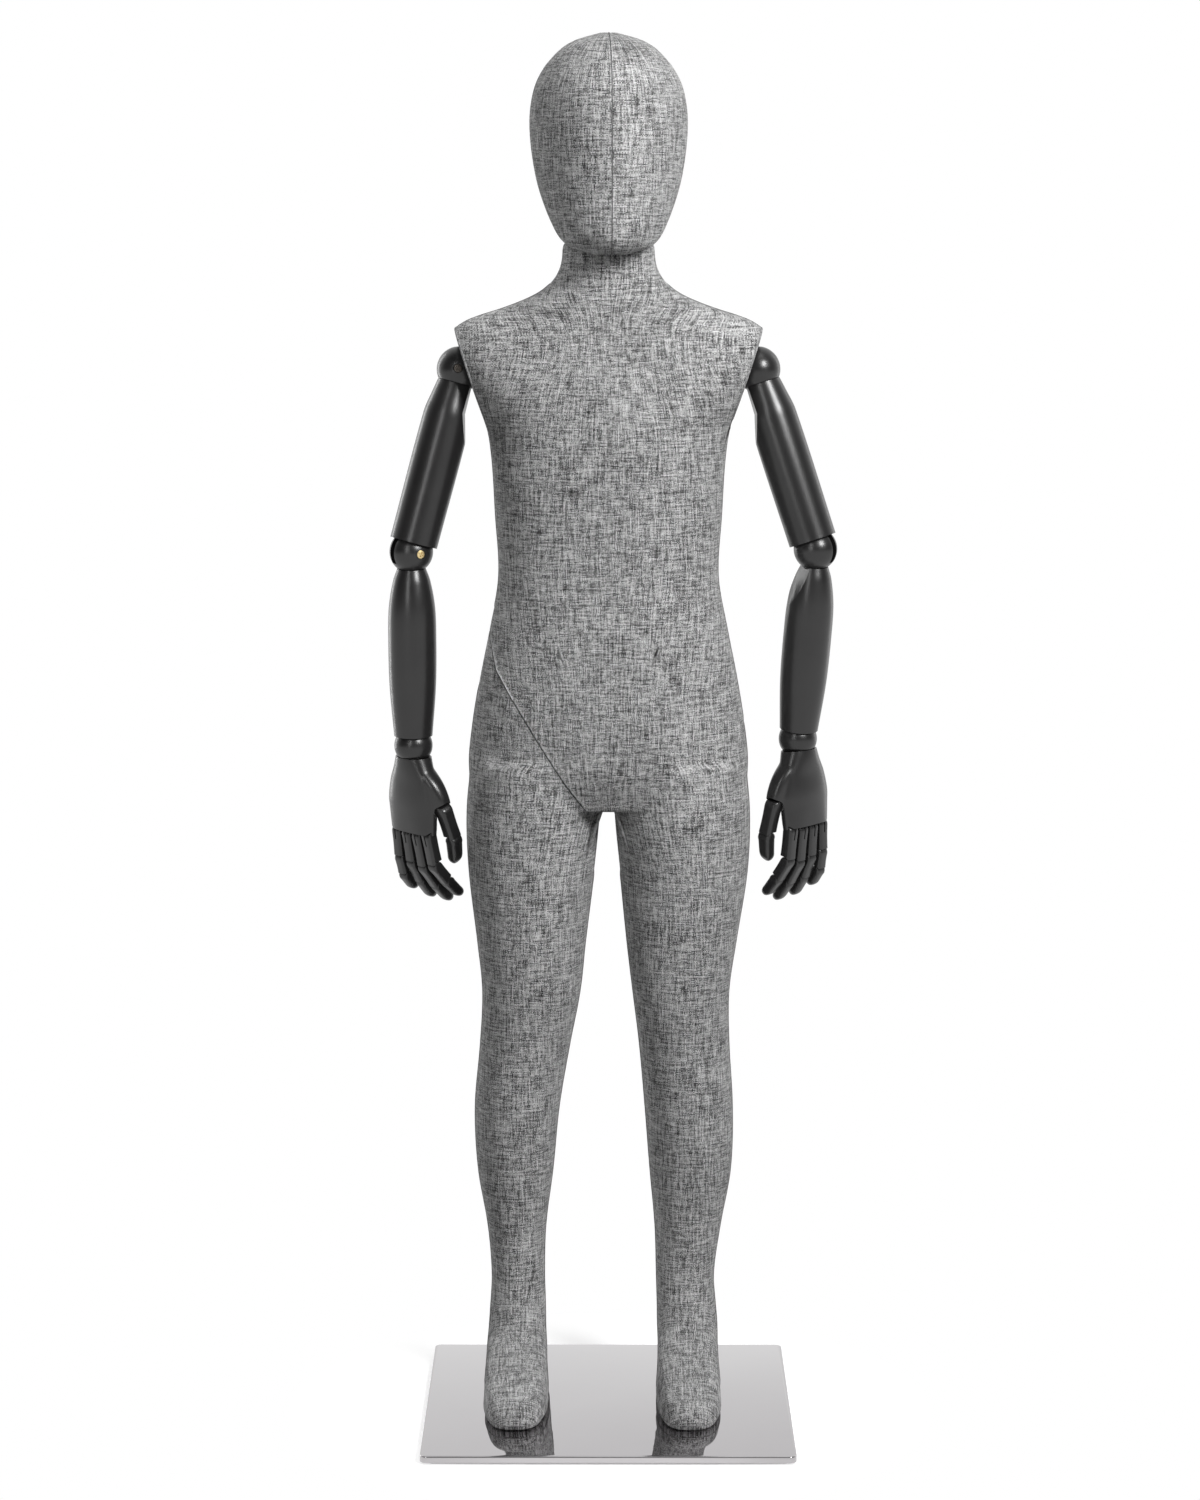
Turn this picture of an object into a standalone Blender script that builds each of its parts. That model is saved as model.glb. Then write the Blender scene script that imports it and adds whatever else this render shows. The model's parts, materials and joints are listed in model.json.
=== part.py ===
"""Child-size display mannequin with articulated wooden arms, on a steel base plate.

Metres, +Z up. The mannequin faces -Y and +X is its own left. The origin is the middle of
the base's underside. Names with right_ and left_ are the mannequin's own sides.
"""

import math

import bmesh
import bpy
from mathutils import Matrix, Vector

GAP = 0.0003          # between pieces that touch
FIT = 0.0005          # running clearance of turning and sliding pieces
BALL_SIDES = 16
BALL_RINGS = 10

# Base
PLATE_SIDE = 0.300
PLATE_THICKNESS = 0.0057
PLATE_CORNER = 0.006
PLATE_EDGE = 0.0008
FELT_THICKNESS = 0.0010
FELT_INSET = 0.004
SCREW_RADIUS = 0.0030
SCREW_HEAD_RADIUS = 0.0058
SCREW_HEAD_HEIGHT = 0.0030
SCREW_LENGTH = 0.020
SPIGOT_RADIUS = 0.0050
SPIGOT_HEIGHT = 0.060
FLANGE_RADIUS = 0.0120
FLANGE_THICKNESS = 0.0020

# Body: widths, depths and heights of the bare form
BODY_Y = 0.035
CROTCH_Z = 0.503
NECK_RADIUS = 0.0372
NECK_TOP_Z = 0.9600
NECK_PEG_RADIUS = 0.0100
NECK_PEG_IN_TORSO = 0.035
NECK_PEG_IN_HEAD = 0.045
HEAD_TOP_Z = 1.1250
LEG_PEG_RADIUS = 0.0080
LEG_PEG_HALF = 0.022
LEG_PEG_X = -0.046
LEG_PEG_Z = 0.546
LEG_SLOT_REACH = 0.020
LEG_CUT = [           # the removable leg's slanting cut, from over the hip down to the crotch
    (-0.1010, 0.7000),
    (-0.0965, 0.6435),
    (-0.0905, 0.6170),
    (-0.0786, 0.5965),
    (-0.0592, 0.5655),
    (-0.0334, 0.5250),
    (-0.0180, 0.5035),
]
LEG_GAP_X = -0.0010
FOOT_SPIGOT_Y = 0.045

# Arms
SHOULDER_X = 0.1203
SHOULDER_Z = 0.8575
SHOULDER_BALL = 0.0185
ARMHOLE_TOP = (0.1240, 0.889)       # two points of the slanting armhole plane
ARMHOLE_FOOT = (0.1000, 0.8165)
UPPER_LENGTH = 0.1524
UPPER_RADIUS = 0.0195
ELBOW_BALL = 0.0177
FORE_LENGTH = 0.1605
FORE_RADIUS = 0.0196
FORE_FACET_TURN = 48    # degrees about the forearm, of the flat under its elbow ball
WRIST_BALL = 0.0157
PALM_LENGTH = 0.0725
PALM_HALF_WIDTH = 0.0252
PALM_HALF_THICK = 0.0095
TONGUE_RADIUS = 0.0080
WRIST_TONGUE = 0.0060
PIVOT_TONGUE = 0.0038
TONGUE_THICKNESS = 0.0060
PIN_RADIUS = 0.0022
PIN_HEAD_RADIUS = 0.0035
PIN_HEAD_HEIGHT = 0.0012
DOWEL_RADIUS = 0.0050
DOWEL_LENGTH = 0.0180
PIVOT_RADIUS = 0.0050
PIVOT_DEPTH = 0.0300

# Hands
FINGER_PITCH = 0.0124
FINGER_RADIUS = 0.0052
FINGER_HALF_WIDTH = 0.0053
FINGERS = {           # knuckle under the wrist, bone lengths, and each knuckle's bend in degrees
    "index": (0.0745, (0.0265, 0.0205, 0.0195), (14, 28, 4)),
    "middle": (0.0757, (0.0285, 0.0220, 0.0200), (13, 25, 5)),
    "ring": (0.0757, (0.0260, 0.0200, 0.0185), (10, 20, 8)),
    "little": (0.0747, (0.0240, 0.0160, 0.0160), (6, 10, 22)),
}
THUMB_ROOT = (0.0070, -0.0295, -0.0520)
THUMB_RADIUS = 0.0060
THUMB_LENGTHS = (0.0275, 0.0235)
THUMB_SPREAD = 2                    # degrees, in the plane of the palm
THUMB_LIFT = 20                     # degrees, out of the palm
THUMB_ROLL = 90                     # degrees, of its hinges about its own length
THUMB_CURL = (0, 18)                # degrees at its two joints as it stands
THUMB_MOST = 6                      # degrees more its root can fold towards the fingers

# How each arm stands, in degrees
POSES = {
    "right": {"lean": 14.9, "forward": 6, "elbow": 17.4, "screw": 33, "hand": 14, "wrist": 0},
    "left": {"lean": 18.0, "forward": 6, "elbow": 25.8, "screw": 33, "hand": 14, "wrist": -13},
}
SIDES = {"right": -1, "left": 1}

PLATE_TOP = FELT_THICKNESS + GAP + PLATE_THICKNESS
SOLE_Z = PLATE_TOP + GAP

for old in list(bpy.data.objects):
    bpy.data.objects.remove(old)


def collection(name):
    made = bpy.data.collections.new(name)
    bpy.context.scene.collection.children.link(made)
    return made


PARTS = collection("display_mannequin")
CUTTERS = collection("cutters")
CUTTERS.hide_render = True


def material(name, colour, roughness, metallic=0.0):
    made = bpy.data.materials.new(name)
    made.use_nodes = True
    shader = made.node_tree.nodes["Principled BSDF"]
    shader.inputs["Base Color"].default_value = (*colour, 1)
    shader.inputs["Roughness"].default_value = roughness
    shader.inputs["Metallic"].default_value = metallic
    return made


LINEN = material("grey_linen", (0.25, 0.25, 0.25), 0.9)
WOOD = material("black_painted_wood", (0.035, 0.035, 0.035), 0.4)
STEEL = material("polished_steel", (0.75, 0.75, 0.77), 0.08, 1.0)
ZINC = material("yellow_zinc", (0.72, 0.60, 0.36), 0.35, 1.0)
FELT = material("black_felt", (0.02, 0.02, 0.02), 1.0)


def degrees(angle, axis):
    return Matrix.Rotation(math.radians(angle), 4, axis)


def move(x=0.0, y=0.0, z=0.0):
    return Matrix.Translation((x, y, z))


# Making objects --------------------------------------------------------------------


def finish_mesh(name, shape, smooth=40):
    """A mesh from a bmesh, with its faces turned outward."""
    bmesh.ops.recalc_face_normals(shape, faces=shape.faces)
    mesh = bpy.data.meshes.new(name)
    shape.to_mesh(mesh)
    shape.free()
    mesh.shade_smooth()
    mesh.set_sharp_from_angle(angle=math.radians(smooth))
    return mesh


def piece(name, shape, finish, parent=None, place=None):
    """A visible piece: its mesh is in its parent's frame, moved by place."""
    made = bpy.data.objects.new(name, finish_mesh(name, shape))
    made.data.materials.append(finish)
    PARTS.objects.link(made)
    made.parent = parent
    made.matrix_local = place or Matrix()
    return made


def cutter(name, shape, parent=None, place=None):
    made = bpy.data.objects.new("cut_" + name, finish_mesh(name, shape))
    CUTTERS.objects.link(made)
    made.hide_render = True
    made.display_type = "WIRE"
    made.parent = parent
    made.matrix_local = place or Matrix()
    return made


def axis_empty(name, parent, place):
    """An empty that stands on a joint's axis, with its local Z along the axis."""
    made = bpy.data.objects.new("axis_" + name, None)
    made.empty_display_size = 0.02
    PARTS.objects.link(made)
    made.parent = parent
    made.matrix_local = place
    return made


def boolean(target, operation, other):
    change = target.modifiers.new(f"{operation.lower()}_{other.name}", "BOOLEAN")
    change.operation = operation
    change.solver = "EXACT"
    change.object = other


def mirrored(shape, side):
    """Shapes are made for the left side, whose outside is +X."""
    if side < 0:
        bmesh.ops.scale(shape, vec=(-1, 1, 1), verts=shape.verts)
    return shape


# Shapes ------------------------------------------------------------------------------


def cylinder(radius, low, high, sides=12, end_radius=None):
    """A round bar along Z from low to high."""
    shape = bmesh.new()
    bmesh.ops.create_cone(
        shape,
        cap_ends=True,
        segments=sides,
        radius1=radius,
        radius2=radius if end_radius is None else end_radius,
        depth=high - low,
        matrix=move(z=(low + high) / 2),
    )
    return shape


def sphere(radius):
    shape = bmesh.new()
    bmesh.ops.create_uvsphere(shape, u_segments=BALL_SIDES, v_segments=BALL_RINGS, radius=radius)
    return shape


def hollow(radius):
    """A sphere whose flat faces all stay outside the radius, to cut the room of a ball."""
    inner = math.cos(math.pi / BALL_SIDES) * math.cos(math.pi / (2 * BALL_RINGS))
    return sphere(radius / inner)


def block(low, high):
    """A box between two opposite corners."""
    low, high = Vector(low), Vector(high)
    size = high - low
    shape = bmesh.new()
    bmesh.ops.create_cube(
        shape, size=1, matrix=Matrix.Translation((low + high) / 2) @ Matrix.Diagonal((*size, 1))
    )
    return shape


def turned(shape, matrix):
    bmesh.ops.transform(shape, matrix=matrix, verts=shape.verts)
    return shape


def ring(x, y, z, half_x, half_y, square, count):
    """A rounded section at height z. square 2 is an ellipse, and more is boxier."""
    points = []
    for i in range(count):
        angle = 2 * math.pi * i / count
        c, s = math.cos(angle), math.sin(angle)
        across = math.copysign(abs(c) ** (2 / square), c)
        along = math.copysign(abs(s) ** (2 / square), s)
        points.append(Vector((x + half_x * across, y + half_y * along, z)))
    return points


def loft(rings):
    """A closed skin over rings of equal count, flat at both ends."""
    shape = bmesh.new()
    levels = [[shape.verts.new(p) for p in points] for points in rings]
    count = len(levels[0])
    for lower, upper in zip(levels, levels[1:]):
        for i in range(count):
            j = (i + 1) % count
            shape.faces.new((lower[i], lower[j], upper[j], upper[i]))
    shape.faces.new(levels[0][::-1])
    shape.faces.new(levels[-1])
    return shape


def blended(stations, z):
    """The values at height z of a smooth curve through stations, whose first value is z."""
    if z <= stations[0][0]:
        return stations[0][1:]
    if z >= stations[-1][0]:
        return stations[-1][1:]
    i = max(k for k in range(len(stations) - 1) if stations[k][0] <= z)
    low, high = stations[i], stations[i + 1]
    before, after = stations[max(i - 1, 0)], stations[min(i + 2, len(stations) - 1)]
    span = high[0] - low[0]
    t = (z - low[0]) / span
    values = []
    for a, b, c, d in zip(before[1:], low[1:], high[1:], after[1:]):
        slope_low = (c - a) / (high[0] - before[0]) * span
        slope_high = (d - b) / (after[0] - low[0]) * span
        values.append(
            (2 * t**3 - 3 * t**2 + 1) * b
            + (t**3 - 2 * t**2 + t) * slope_low
            + (3 * t**2 - 2 * t**3) * c
            + (t**3 - t**2) * slope_high
        )
    return values


def lofted(stations, steps, count, square=2.0):
    """A loft whose stations are (z, x, y, half_x, half_y), smoothed between them.

    A station may end in its own squareness.
    """
    bottom, top = stations[0][0], stations[-1][0]
    rings = []
    for k in range(steps + 1):
        z = bottom + (top - bottom) * k / steps
        x, y, half_x, half_y, *own_square = blended(stations, z)
        rings.append(ring(x, y, z, half_x, half_y, *(own_square or [square]), count))
    return loft(rings)


def prism(outline, low, high):
    """An outline of (across, up) points, drawn out along Y from low to high."""
    shape = bmesh.new()
    near = [shape.verts.new((a, low, u)) for a, u in outline]
    far = [shape.verts.new((a, high, u)) for a, u in outline]
    count = len(outline)
    for i in range(count):
        j = (i + 1) % count
        shape.faces.new((near[i], near[j], far[j], far[i]))
    shape.faces.new(near[::-1])
    shape.faces.new(far)
    return shape


def arc(x, z, radius, start, end, steps):
    """Points on a circle, by angles in degrees from +X towards +Z."""
    return [
        (
            x + radius * math.cos(math.radians(start + (end - start) * k / steps)),
            z + radius * math.sin(math.radians(start + (end - start) * k / steps)),
        )
        for k in range(steps + 1)
    ]


# Base ----------------------------------------------------------------------------------


def rounded_square(side, corner):
    half = side / 2 - corner
    outline = []
    for k, (sx, sy) in enumerate(((1, 1), (-1, 1), (-1, -1), (1, -1))):
        outline += arc(sx * half, sy * half, corner, 90 * k, 90 * k + 90, 4)
    return outline


def sheet(side, corner, low, high):
    """A flat square plate with rounded corners."""
    return turned(prism(rounded_square(side, corner), -high, -low), degrees(-90, "X"))


def make_base(root):
    spigot_x = leg_at("left", PLATE_TOP + 0.03)[0]
    stand = axis_empty("base", root, move(x=spigot_x, y=FOOT_SPIGOT_Y, z=PLATE_TOP))
    piece("base_felt", sheet(PLATE_SIDE - 2 * FELT_INSET, PLATE_CORNER, 0, FELT_THICKNESS), FELT, root)
    plate_low = FELT_THICKNESS + GAP
    plate = piece("base_plate", sheet(PLATE_SIDE, PLATE_CORNER, plate_low, PLATE_TOP), STEEL, root)
    edge = plate.modifiers.new("soft_edge", "BEVEL")
    edge.width = PLATE_EDGE
    edge.segments = 1
    edge.limit_method = "ANGLE"
    edge.angle_limit = math.radians(60)
    hole = cylinder(SCREW_RADIUS + GAP, -PLATE_THICKNESS - 0.001, 0.001)
    boolean(plate, "DIFFERENCE", cutter("plate_hole", hole, stand))
    sink = cylinder(
        SCREW_HEAD_RADIUS + GAP + 0.001,
        -PLATE_THICKNESS - 0.001,
        -PLATE_THICKNESS + SCREW_HEAD_HEIGHT + GAP,
        end_radius=SCREW_RADIUS + GAP,
    )
    boolean(plate, "DIFFERENCE", cutter("plate_sink", sink, stand))

    spigot = piece("foot_spigot", cylinder(SPIGOT_RADIUS, GAP, SPIGOT_HEIGHT), STEEL, stand)
    flange = cylinder(FLANGE_RADIUS, GAP, FLANGE_THICKNESS)
    boolean(spigot, "UNION", cutter("flange", flange, stand))
    thread = cylinder(SCREW_RADIUS + GAP, -0.001, SCREW_LENGTH)
    boolean(spigot, "DIFFERENCE", cutter("spigot_thread", thread, stand))

    head_low = -PLATE_THICKNESS + GAP
    screw = piece(
        "spigot_screw",
        cylinder(SCREW_HEAD_RADIUS, head_low, head_low + SCREW_HEAD_HEIGHT, end_radius=SCREW_RADIUS),
        ZINC,
        stand,
    )
    shank = cylinder(SCREW_RADIUS, head_low + 0.001, SCREW_LENGTH - 0.003)
    boolean(screw, "UNION", cutter("screw_shank", shank, stand))
    return stand


# Body ----------------------------------------------------------------------------------

# Stations: height, middle x, middle y, half width, half depth, and squareness
TORSO = [
    (CROTCH_Z - 0.001, 0, 0.041, 0.1070, 0.0540, 2.1),
    (0.530, 0, 0.0415, 0.1142, 0.0690, 2.15),
    (0.566, 0, 0.042, 0.1115, 0.0740, 2.2),
    (0.606, 0, 0.040, 0.1050, 0.0720, 2.2),
    (0.646, 0, 0.036, 0.0970, 0.067, 2.2),
    (0.690, 0, 0.033, 0.0893, 0.062, 2.2),
    (0.740, 0, 0.033, 0.0918, 0.065, 2.25),
    (0.790, 0, 0.035, 0.0950, 0.070, 2.3),
    (ARMHOLE_FOOT[1], 0, 0.036, ARMHOLE_FOOT[0] + 0.0004, 0.071, 2.3),
    (0.840, 0, 0.037, 0.1150, 0.070, 2.3),
    (0.862, 0, 0.038, 0.1280, 0.066, 2.2),
    (0.884, 0, 0.038, 0.1290, 0.060, 2.1),
    (0.897, 0, 0.038, 0.1140, 0.055, 2.0),
    (0.908, 0, 0.037, 0.0810, 0.050, 2.0),
    (0.919, 0, 0.036, 0.0560, 0.045, 2.0),
    (0.932, 0, 0.035, 0.0425, 0.040, 2.0),
    (0.945, 0, BODY_Y, NECK_RADIUS + 0.0005, NECK_RADIUS + 0.0005, 2.0),
    (NECK_TOP_Z - GAP, 0, BODY_Y, NECK_RADIUS, NECK_RADIUS, 2.0),
]
LEGS = {
    "left": [
        (0.0550, 0.0665, 0.040, 0.0250, 0.0400),
        (0.0750, 0.0656, 0.047, 0.0245, 0.0310),
        (0.1000, 0.0644, 0.050, 0.0240, 0.0275),
        (0.1411, 0.0666, 0.052, 0.0274, 0.0300),
        (0.1900, 0.0686, 0.050, 0.0337, 0.0370),
        (0.2439, 0.0671, 0.047, 0.0364, 0.0420),
        (0.3000, 0.0630, 0.040, 0.0372, 0.0410),
        (0.3456, 0.0600, 0.034, 0.0397, 0.0430),
        (0.3861, 0.0604, 0.034, 0.0449, 0.0480),
        (0.4465, 0.0620, 0.037, 0.0525, 0.0570),
        (0.4950, 0.0605, 0.040, 0.0556, 0.0650),
        (0.5400, 0.0580, 0.041, 0.0540, 0.0680),
    ],
    "right": [
        (0.0550, 0.0762, 0.040, 0.0238, 0.0400),
        (0.0750, 0.0757, 0.047, 0.0230, 0.0310),
        (0.1000, 0.0755, 0.050, 0.0220, 0.0275),
        (0.1411, 0.0766, 0.052, 0.0242, 0.0300),
        (0.1900, 0.0775, 0.050, 0.0312, 0.0370),
        (0.2439, 0.0760, 0.047, 0.0350, 0.0420),
        (0.3000, 0.0690, 0.040, 0.0372, 0.0410),
        (0.3456, 0.0636, 0.034, 0.0403, 0.0430),
        (0.3861, 0.0634, 0.034, 0.0444, 0.0480),
        (0.4465, 0.0632, 0.037, 0.0516, 0.0570),
        (0.4950, 0.0615, 0.040, 0.0548, 0.0650),
        (0.5400, 0.0580, 0.041, 0.0540, 0.0680),
    ],
}
FOOT_BACK = 0.0840
FOOT_FRONT = -0.0900
FOOT_HALF_WIDTH = 0.0262
TOE_HEIGHT = 0.0240
HEAD = [
    (0.9510, 0, -0.014, 0.0120, 0.0120),
    (0.9560, 0, -0.003, 0.0270, 0.0300),
    (0.9660, 0, 0.009, 0.0390, 0.0470),
    (0.9850, 0, 0.020, 0.0505, 0.0605),
    (1.0135, 0, 0.028, 0.0590, 0.0700),
    (1.0520, 0, 0.033, 0.0634, 0.0760),
    (1.0800, 0, 0.035, 0.0600, 0.0730),
    (1.0990, 0, 0.036, 0.0507, 0.0620),
    (1.1110, 0, 0.036, 0.0385, 0.0480),
    (1.1190, 0, 0.036, 0.0250, 0.0320),
    (HEAD_TOP_Z, 0, 0.036, 0.0060, 0.0080),
]


def leg_at(side_name, z):
    """The leg's middle x, with its sign, and its other values at a height."""
    x, y, half_x, half_y = blended(LEGS[side_name], z)
    return SIDES[side_name] * x, y, half_x, half_y


def leg_shape(side_name):
    """A leg and its foot as one loft: the sole is long, and the ankle short."""
    side, stations = SIDES[side_name], LEGS[side_name]
    count = 20
    ankle_z = stations[0][0]
    ankle_x, ankle_y, ankle_half_x, ankle_half_y = stations[0][1:]
    rings = []
    front, back = FOOT_FRONT, FOOT_BACK
    levels = (
        (SOLE_Z, 0.0035, 0.95, 3.0),
        (SOLE_Z + 0.004, 0.0, 1.0, 3.0),
        (SOLE_Z + 0.6 * TOE_HEIGHT, 0.0, 1.0, 3.0),
        (SOLE_Z + TOE_HEIGHT, 0.010, 0.97, 2.7),
        (SOLE_Z + 1.25 * TOE_HEIGHT, 0.034, 0.96, 2.4),
        (SOLE_Z + 1.6 * TOE_HEIGHT, 0.068, 0.95, 2.2),
    )
    for z, shorter, narrower, square in levels:
        rear = back - (0.003 if z == SOLE_Z else 0)
        middle = (front + shorter + rear) / 2
        half = (rear - front - shorter) / 2
        rings.append(ring(side * ankle_x, middle, z, FOOT_HALF_WIDTH * narrower, half, square, count))
    top = stations[-1][0]
    steps = 16
    for k in range(steps + 1):
        z = ankle_z + (top - ankle_z) * k / steps
        x, y, half_x, half_y = blended(stations, z)
        rings.append(ring(side * x, y, z, half_x, half_y, 2.0, count))
    return loft(rings)


def armhole_tilt(side):
    """The turn about Y, in degrees, that takes +Z to the way out of the armhole."""
    up = Vector(ARMHOLE_TOP) - Vector(ARMHOLE_FOOT)
    return side * math.degrees(math.atan2(up.y, -up.x))


def armhole_frame(side):
    """A matrix on the shoulder centre whose Z points out of the armhole."""
    centre = move(x=side * SHOULDER_X, y=BODY_Y, z=SHOULDER_Z)
    return centre @ degrees(armhole_tilt(side), "Y")


def armhole_block(side):
    """Everything outside the armhole plane."""
    reach = 0.12
    low, high = Vector(ARMHOLE_FOOT), Vector(ARMHOLE_TOP)
    along = (high - low).normalized()
    a = low - along * 0.001
    b = high + along * 0.080
    outline = [(a.x, a.y), (b.x, b.y), (b.x + reach, b.y), (a.x + reach, a.y)]
    return mirrored(prism(outline, -0.10, 0.20), side)


def leg_region(gap):
    """The outline of all that comes off with the removable leg, set back by a gap."""
    line = [(x - gap, z - 0.6 * gap) for x, z in LEG_CUT]
    inside, far = LEG_GAP_X - gap, -0.300
    return [*line, (inside, CROTCH_Z - 0.002), (inside, -0.010), (far, -0.010), (far, LEG_CUT[0][1])]


def body_form(name, root):
    """The whole bare form: torso and both legs."""
    form = piece(name, lofted(TORSO, 40, 28), LINEN, root)
    for side_name in SIDES:
        leg = cutter(f"{name}_{side_name}_leg", leg_shape(side_name), root)
        boolean(form, "UNION", leg)
    return form


def make_body(root, stand):
    torso = body_form("torso", root)
    boolean(torso, "DIFFERENCE", cutter("leg_room", prism(leg_region(0), -0.15, 0.20), root))
    leg_slide = axis_empty("right_leg", root, move(x=LEG_PEG_X, y=BODY_Y, z=LEG_PEG_Z) @ degrees(-90, "Y"))
    for side_name, side in SIDES.items():
        boolean(torso, "DIFFERENCE", cutter(f"armhole_{side_name}", armhole_block(side), root))
        socket = cutter(f"socket_{side_name}", hollow(SHOULDER_BALL + FIT), root, armhole_frame(side))
        boolean(torso, "DIFFERENCE", socket)
        bore = cylinder(PIVOT_RADIUS + GAP, -PIVOT_DEPTH - SHOULDER_BALL - GAP, 0)
        boolean(torso, "DIFFERENCE", cutter(f"pivot_bore_{side_name}", bore, root, armhole_frame(side)))
    neck = move(y=BODY_Y, z=NECK_TOP_Z)
    peg_hole = cylinder(NECK_PEG_RADIUS + 2 * FIT, -NECK_PEG_IN_TORSO - GAP, 0.01)
    boolean(torso, "DIFFERENCE", cutter("neck_hole", peg_hole, root, neck))
    room = LEG_PEG_RADIUS + FIT
    leg_slot = block((-room, -room - LEG_SLOT_REACH, -LEG_PEG_HALF - FIT), (room, room, LEG_PEG_HALF))
    boolean(torso, "DIFFERENCE", cutter("leg_slot", leg_slot, leg_slide))
    sole_hole = cylinder(SPIGOT_RADIUS + FIT, -0.01, SPIGOT_HEIGHT + 0.002)
    boolean(torso, "DIFFERENCE", cutter("sole_hole", sole_hole, stand))
    sole_recess = cylinder(FLANGE_RADIUS + FIT, -0.01, FLANGE_THICKNESS + 0.001)
    boolean(torso, "DIFFERENCE", cutter("sole_recess", sole_recess, stand))

    leg = body_form("right_leg", root)
    boolean(leg, "INTERSECT", cutter("leg_keep", prism(leg_region(GAP), -0.14, 0.19), root))
    leg_hole = cylinder(LEG_PEG_RADIUS + GAP, -LEG_PEG_HALF, LEG_PEG_HALF + GAP)
    boolean(leg, "DIFFERENCE", cutter("leg_hole", leg_hole, leg_slide))
    piece("leg_peg", cylinder(LEG_PEG_RADIUS, -LEG_PEG_HALF, LEG_PEG_HALF), WOOD, leg_slide)

    turn = axis_empty("head", root, neck)
    head = piece("head", lofted(HEAD, 18, 20), LINEN, root)
    recess = cylinder(NECK_RADIUS + 2 * FIT, -0.05, 0, 24)
    boolean(head, "DIFFERENCE", cutter("neck_recess", recess, turn))
    head_hole = cylinder(NECK_PEG_RADIUS + 2 * FIT, -0.01, NECK_PEG_IN_HEAD + GAP)
    boolean(head, "DIFFERENCE", cutter("head_hole", head_hole, turn))
    peg = cylinder(NECK_PEG_RADIUS, -NECK_PEG_IN_TORSO, NECK_PEG_IN_HEAD)
    piece("neck_peg", peg, WOOD, turn)


# Arms ----------------------------------------------------------------------------------


def tongue(reach, radius=TONGUE_RADIUS):
    """A flat tongue with a round end on the hinge. A negative reach goes down from it."""
    turn = 180 if reach > 0 else 0
    outline = arc(0, 0, radius, turn, turn + 180, 6)
    outline += [(-outline[0][0], reach), (outline[0][0], reach)]
    return prism(outline, -TONGUE_THICKNESS / 2, TONGUE_THICKNESS / 2)


def hinge_pin(name, ball_radius, parent, way):
    """A screw across a ball along Y, its head towards Y if way is 1 and -Y if it is -1."""
    reach = ball_radius - 0.0015
    head = cylinder(PIN_HEAD_RADIUS, -reach - PIN_HEAD_HEIGHT, -reach)
    pin = piece(name, turned(head, degrees(90 * way, "X")), ZINC, parent)
    shank = cylinder(PIN_RADIUS, -reach - PIN_HEAD_HEIGHT / 2, 0.7 * reach)
    boolean(pin, "UNION", cutter(name + "_shank", turned(shank, degrees(90 * way, "X")), parent))


def pin_room(name, ball_radius, parent, way):
    """The space a hinge pin and its head take in a ball."""
    reach = ball_radius - 0.0015
    shank = cylinder(PIN_RADIUS + GAP, -reach, 0.7 * reach + GAP)
    head = cylinder(PIN_HEAD_RADIUS + GAP, -ball_radius - 0.005, -reach + GAP)
    return (
        cutter(name + "_shank_room", turned(shank, degrees(90 * way, "X")), parent),
        cutter(name + "_head_room", turned(head, degrees(90 * way, "X")), parent),
    )


def ball(name, radius, slot_low, slot_high, dowel, parent, side, screw=True):
    """A wooden ball with a slot for a tongue, a screw across it and a turning dowel."""
    made = piece(name, sphere(radius), WOOD, parent)
    half = TONGUE_THICKNESS / 2 + FIT / 2
    slot = block((slot_low[0], -half, slot_low[1]), (slot_high[0], half, slot_high[1]))
    boolean(made, "DIFFERENCE", cutter(name + "_slot", mirrored(slot, side), parent))
    low, high = sorted((dowel * radius * 0.7, dowel * (radius + DOWEL_LENGTH)))
    boolean(made, "UNION", cutter(name + "_dowel", cylinder(DOWEL_RADIUS, low, high), parent))
    if screw:
        for room in pin_room(name, radius, parent, side):
            boolean(made, "DIFFERENCE", room)
    return made


def arm_stations(stations):
    """Stations of (distance down the arm, radius) as loft stations."""
    return [(-z, 0, 0, radius, radius) for z, radius in reversed(stations)]


def upper_arm(name, side, parent):
    length, radius = UPPER_LENGTH, UPPER_RADIUS
    end = length - 0.0075
    stations = arm_stations([(0.009, 0.0145), (0.022, 0.0168), (0.040, radius), (end, radius)])
    made = piece(name, lofted(stations, 8, 16), WOOD, parent)
    relief = [(-0.0125, 0.010), (-0.0125, -0.034), (-radius - 0.001, -0.060), (-0.050, -0.060), (-0.050, 0.010)]
    boolean(made, "DIFFERENCE", cutter(name + "_relief", mirrored(prism(relief, -0.03, 0.03), side), parent))
    cup = hollow(SHOULDER_BALL + FIT)
    boolean(made, "DIFFERENCE", cutter(name + "_cup", cup, parent))
    bore = cylinder(DOWEL_RADIUS + GAP, -SHOULDER_BALL - DOWEL_LENGTH - GAP, 0)
    boolean(made, "DIFFERENCE", cutter(name + "_bore", bore, parent))
    return made


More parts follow.
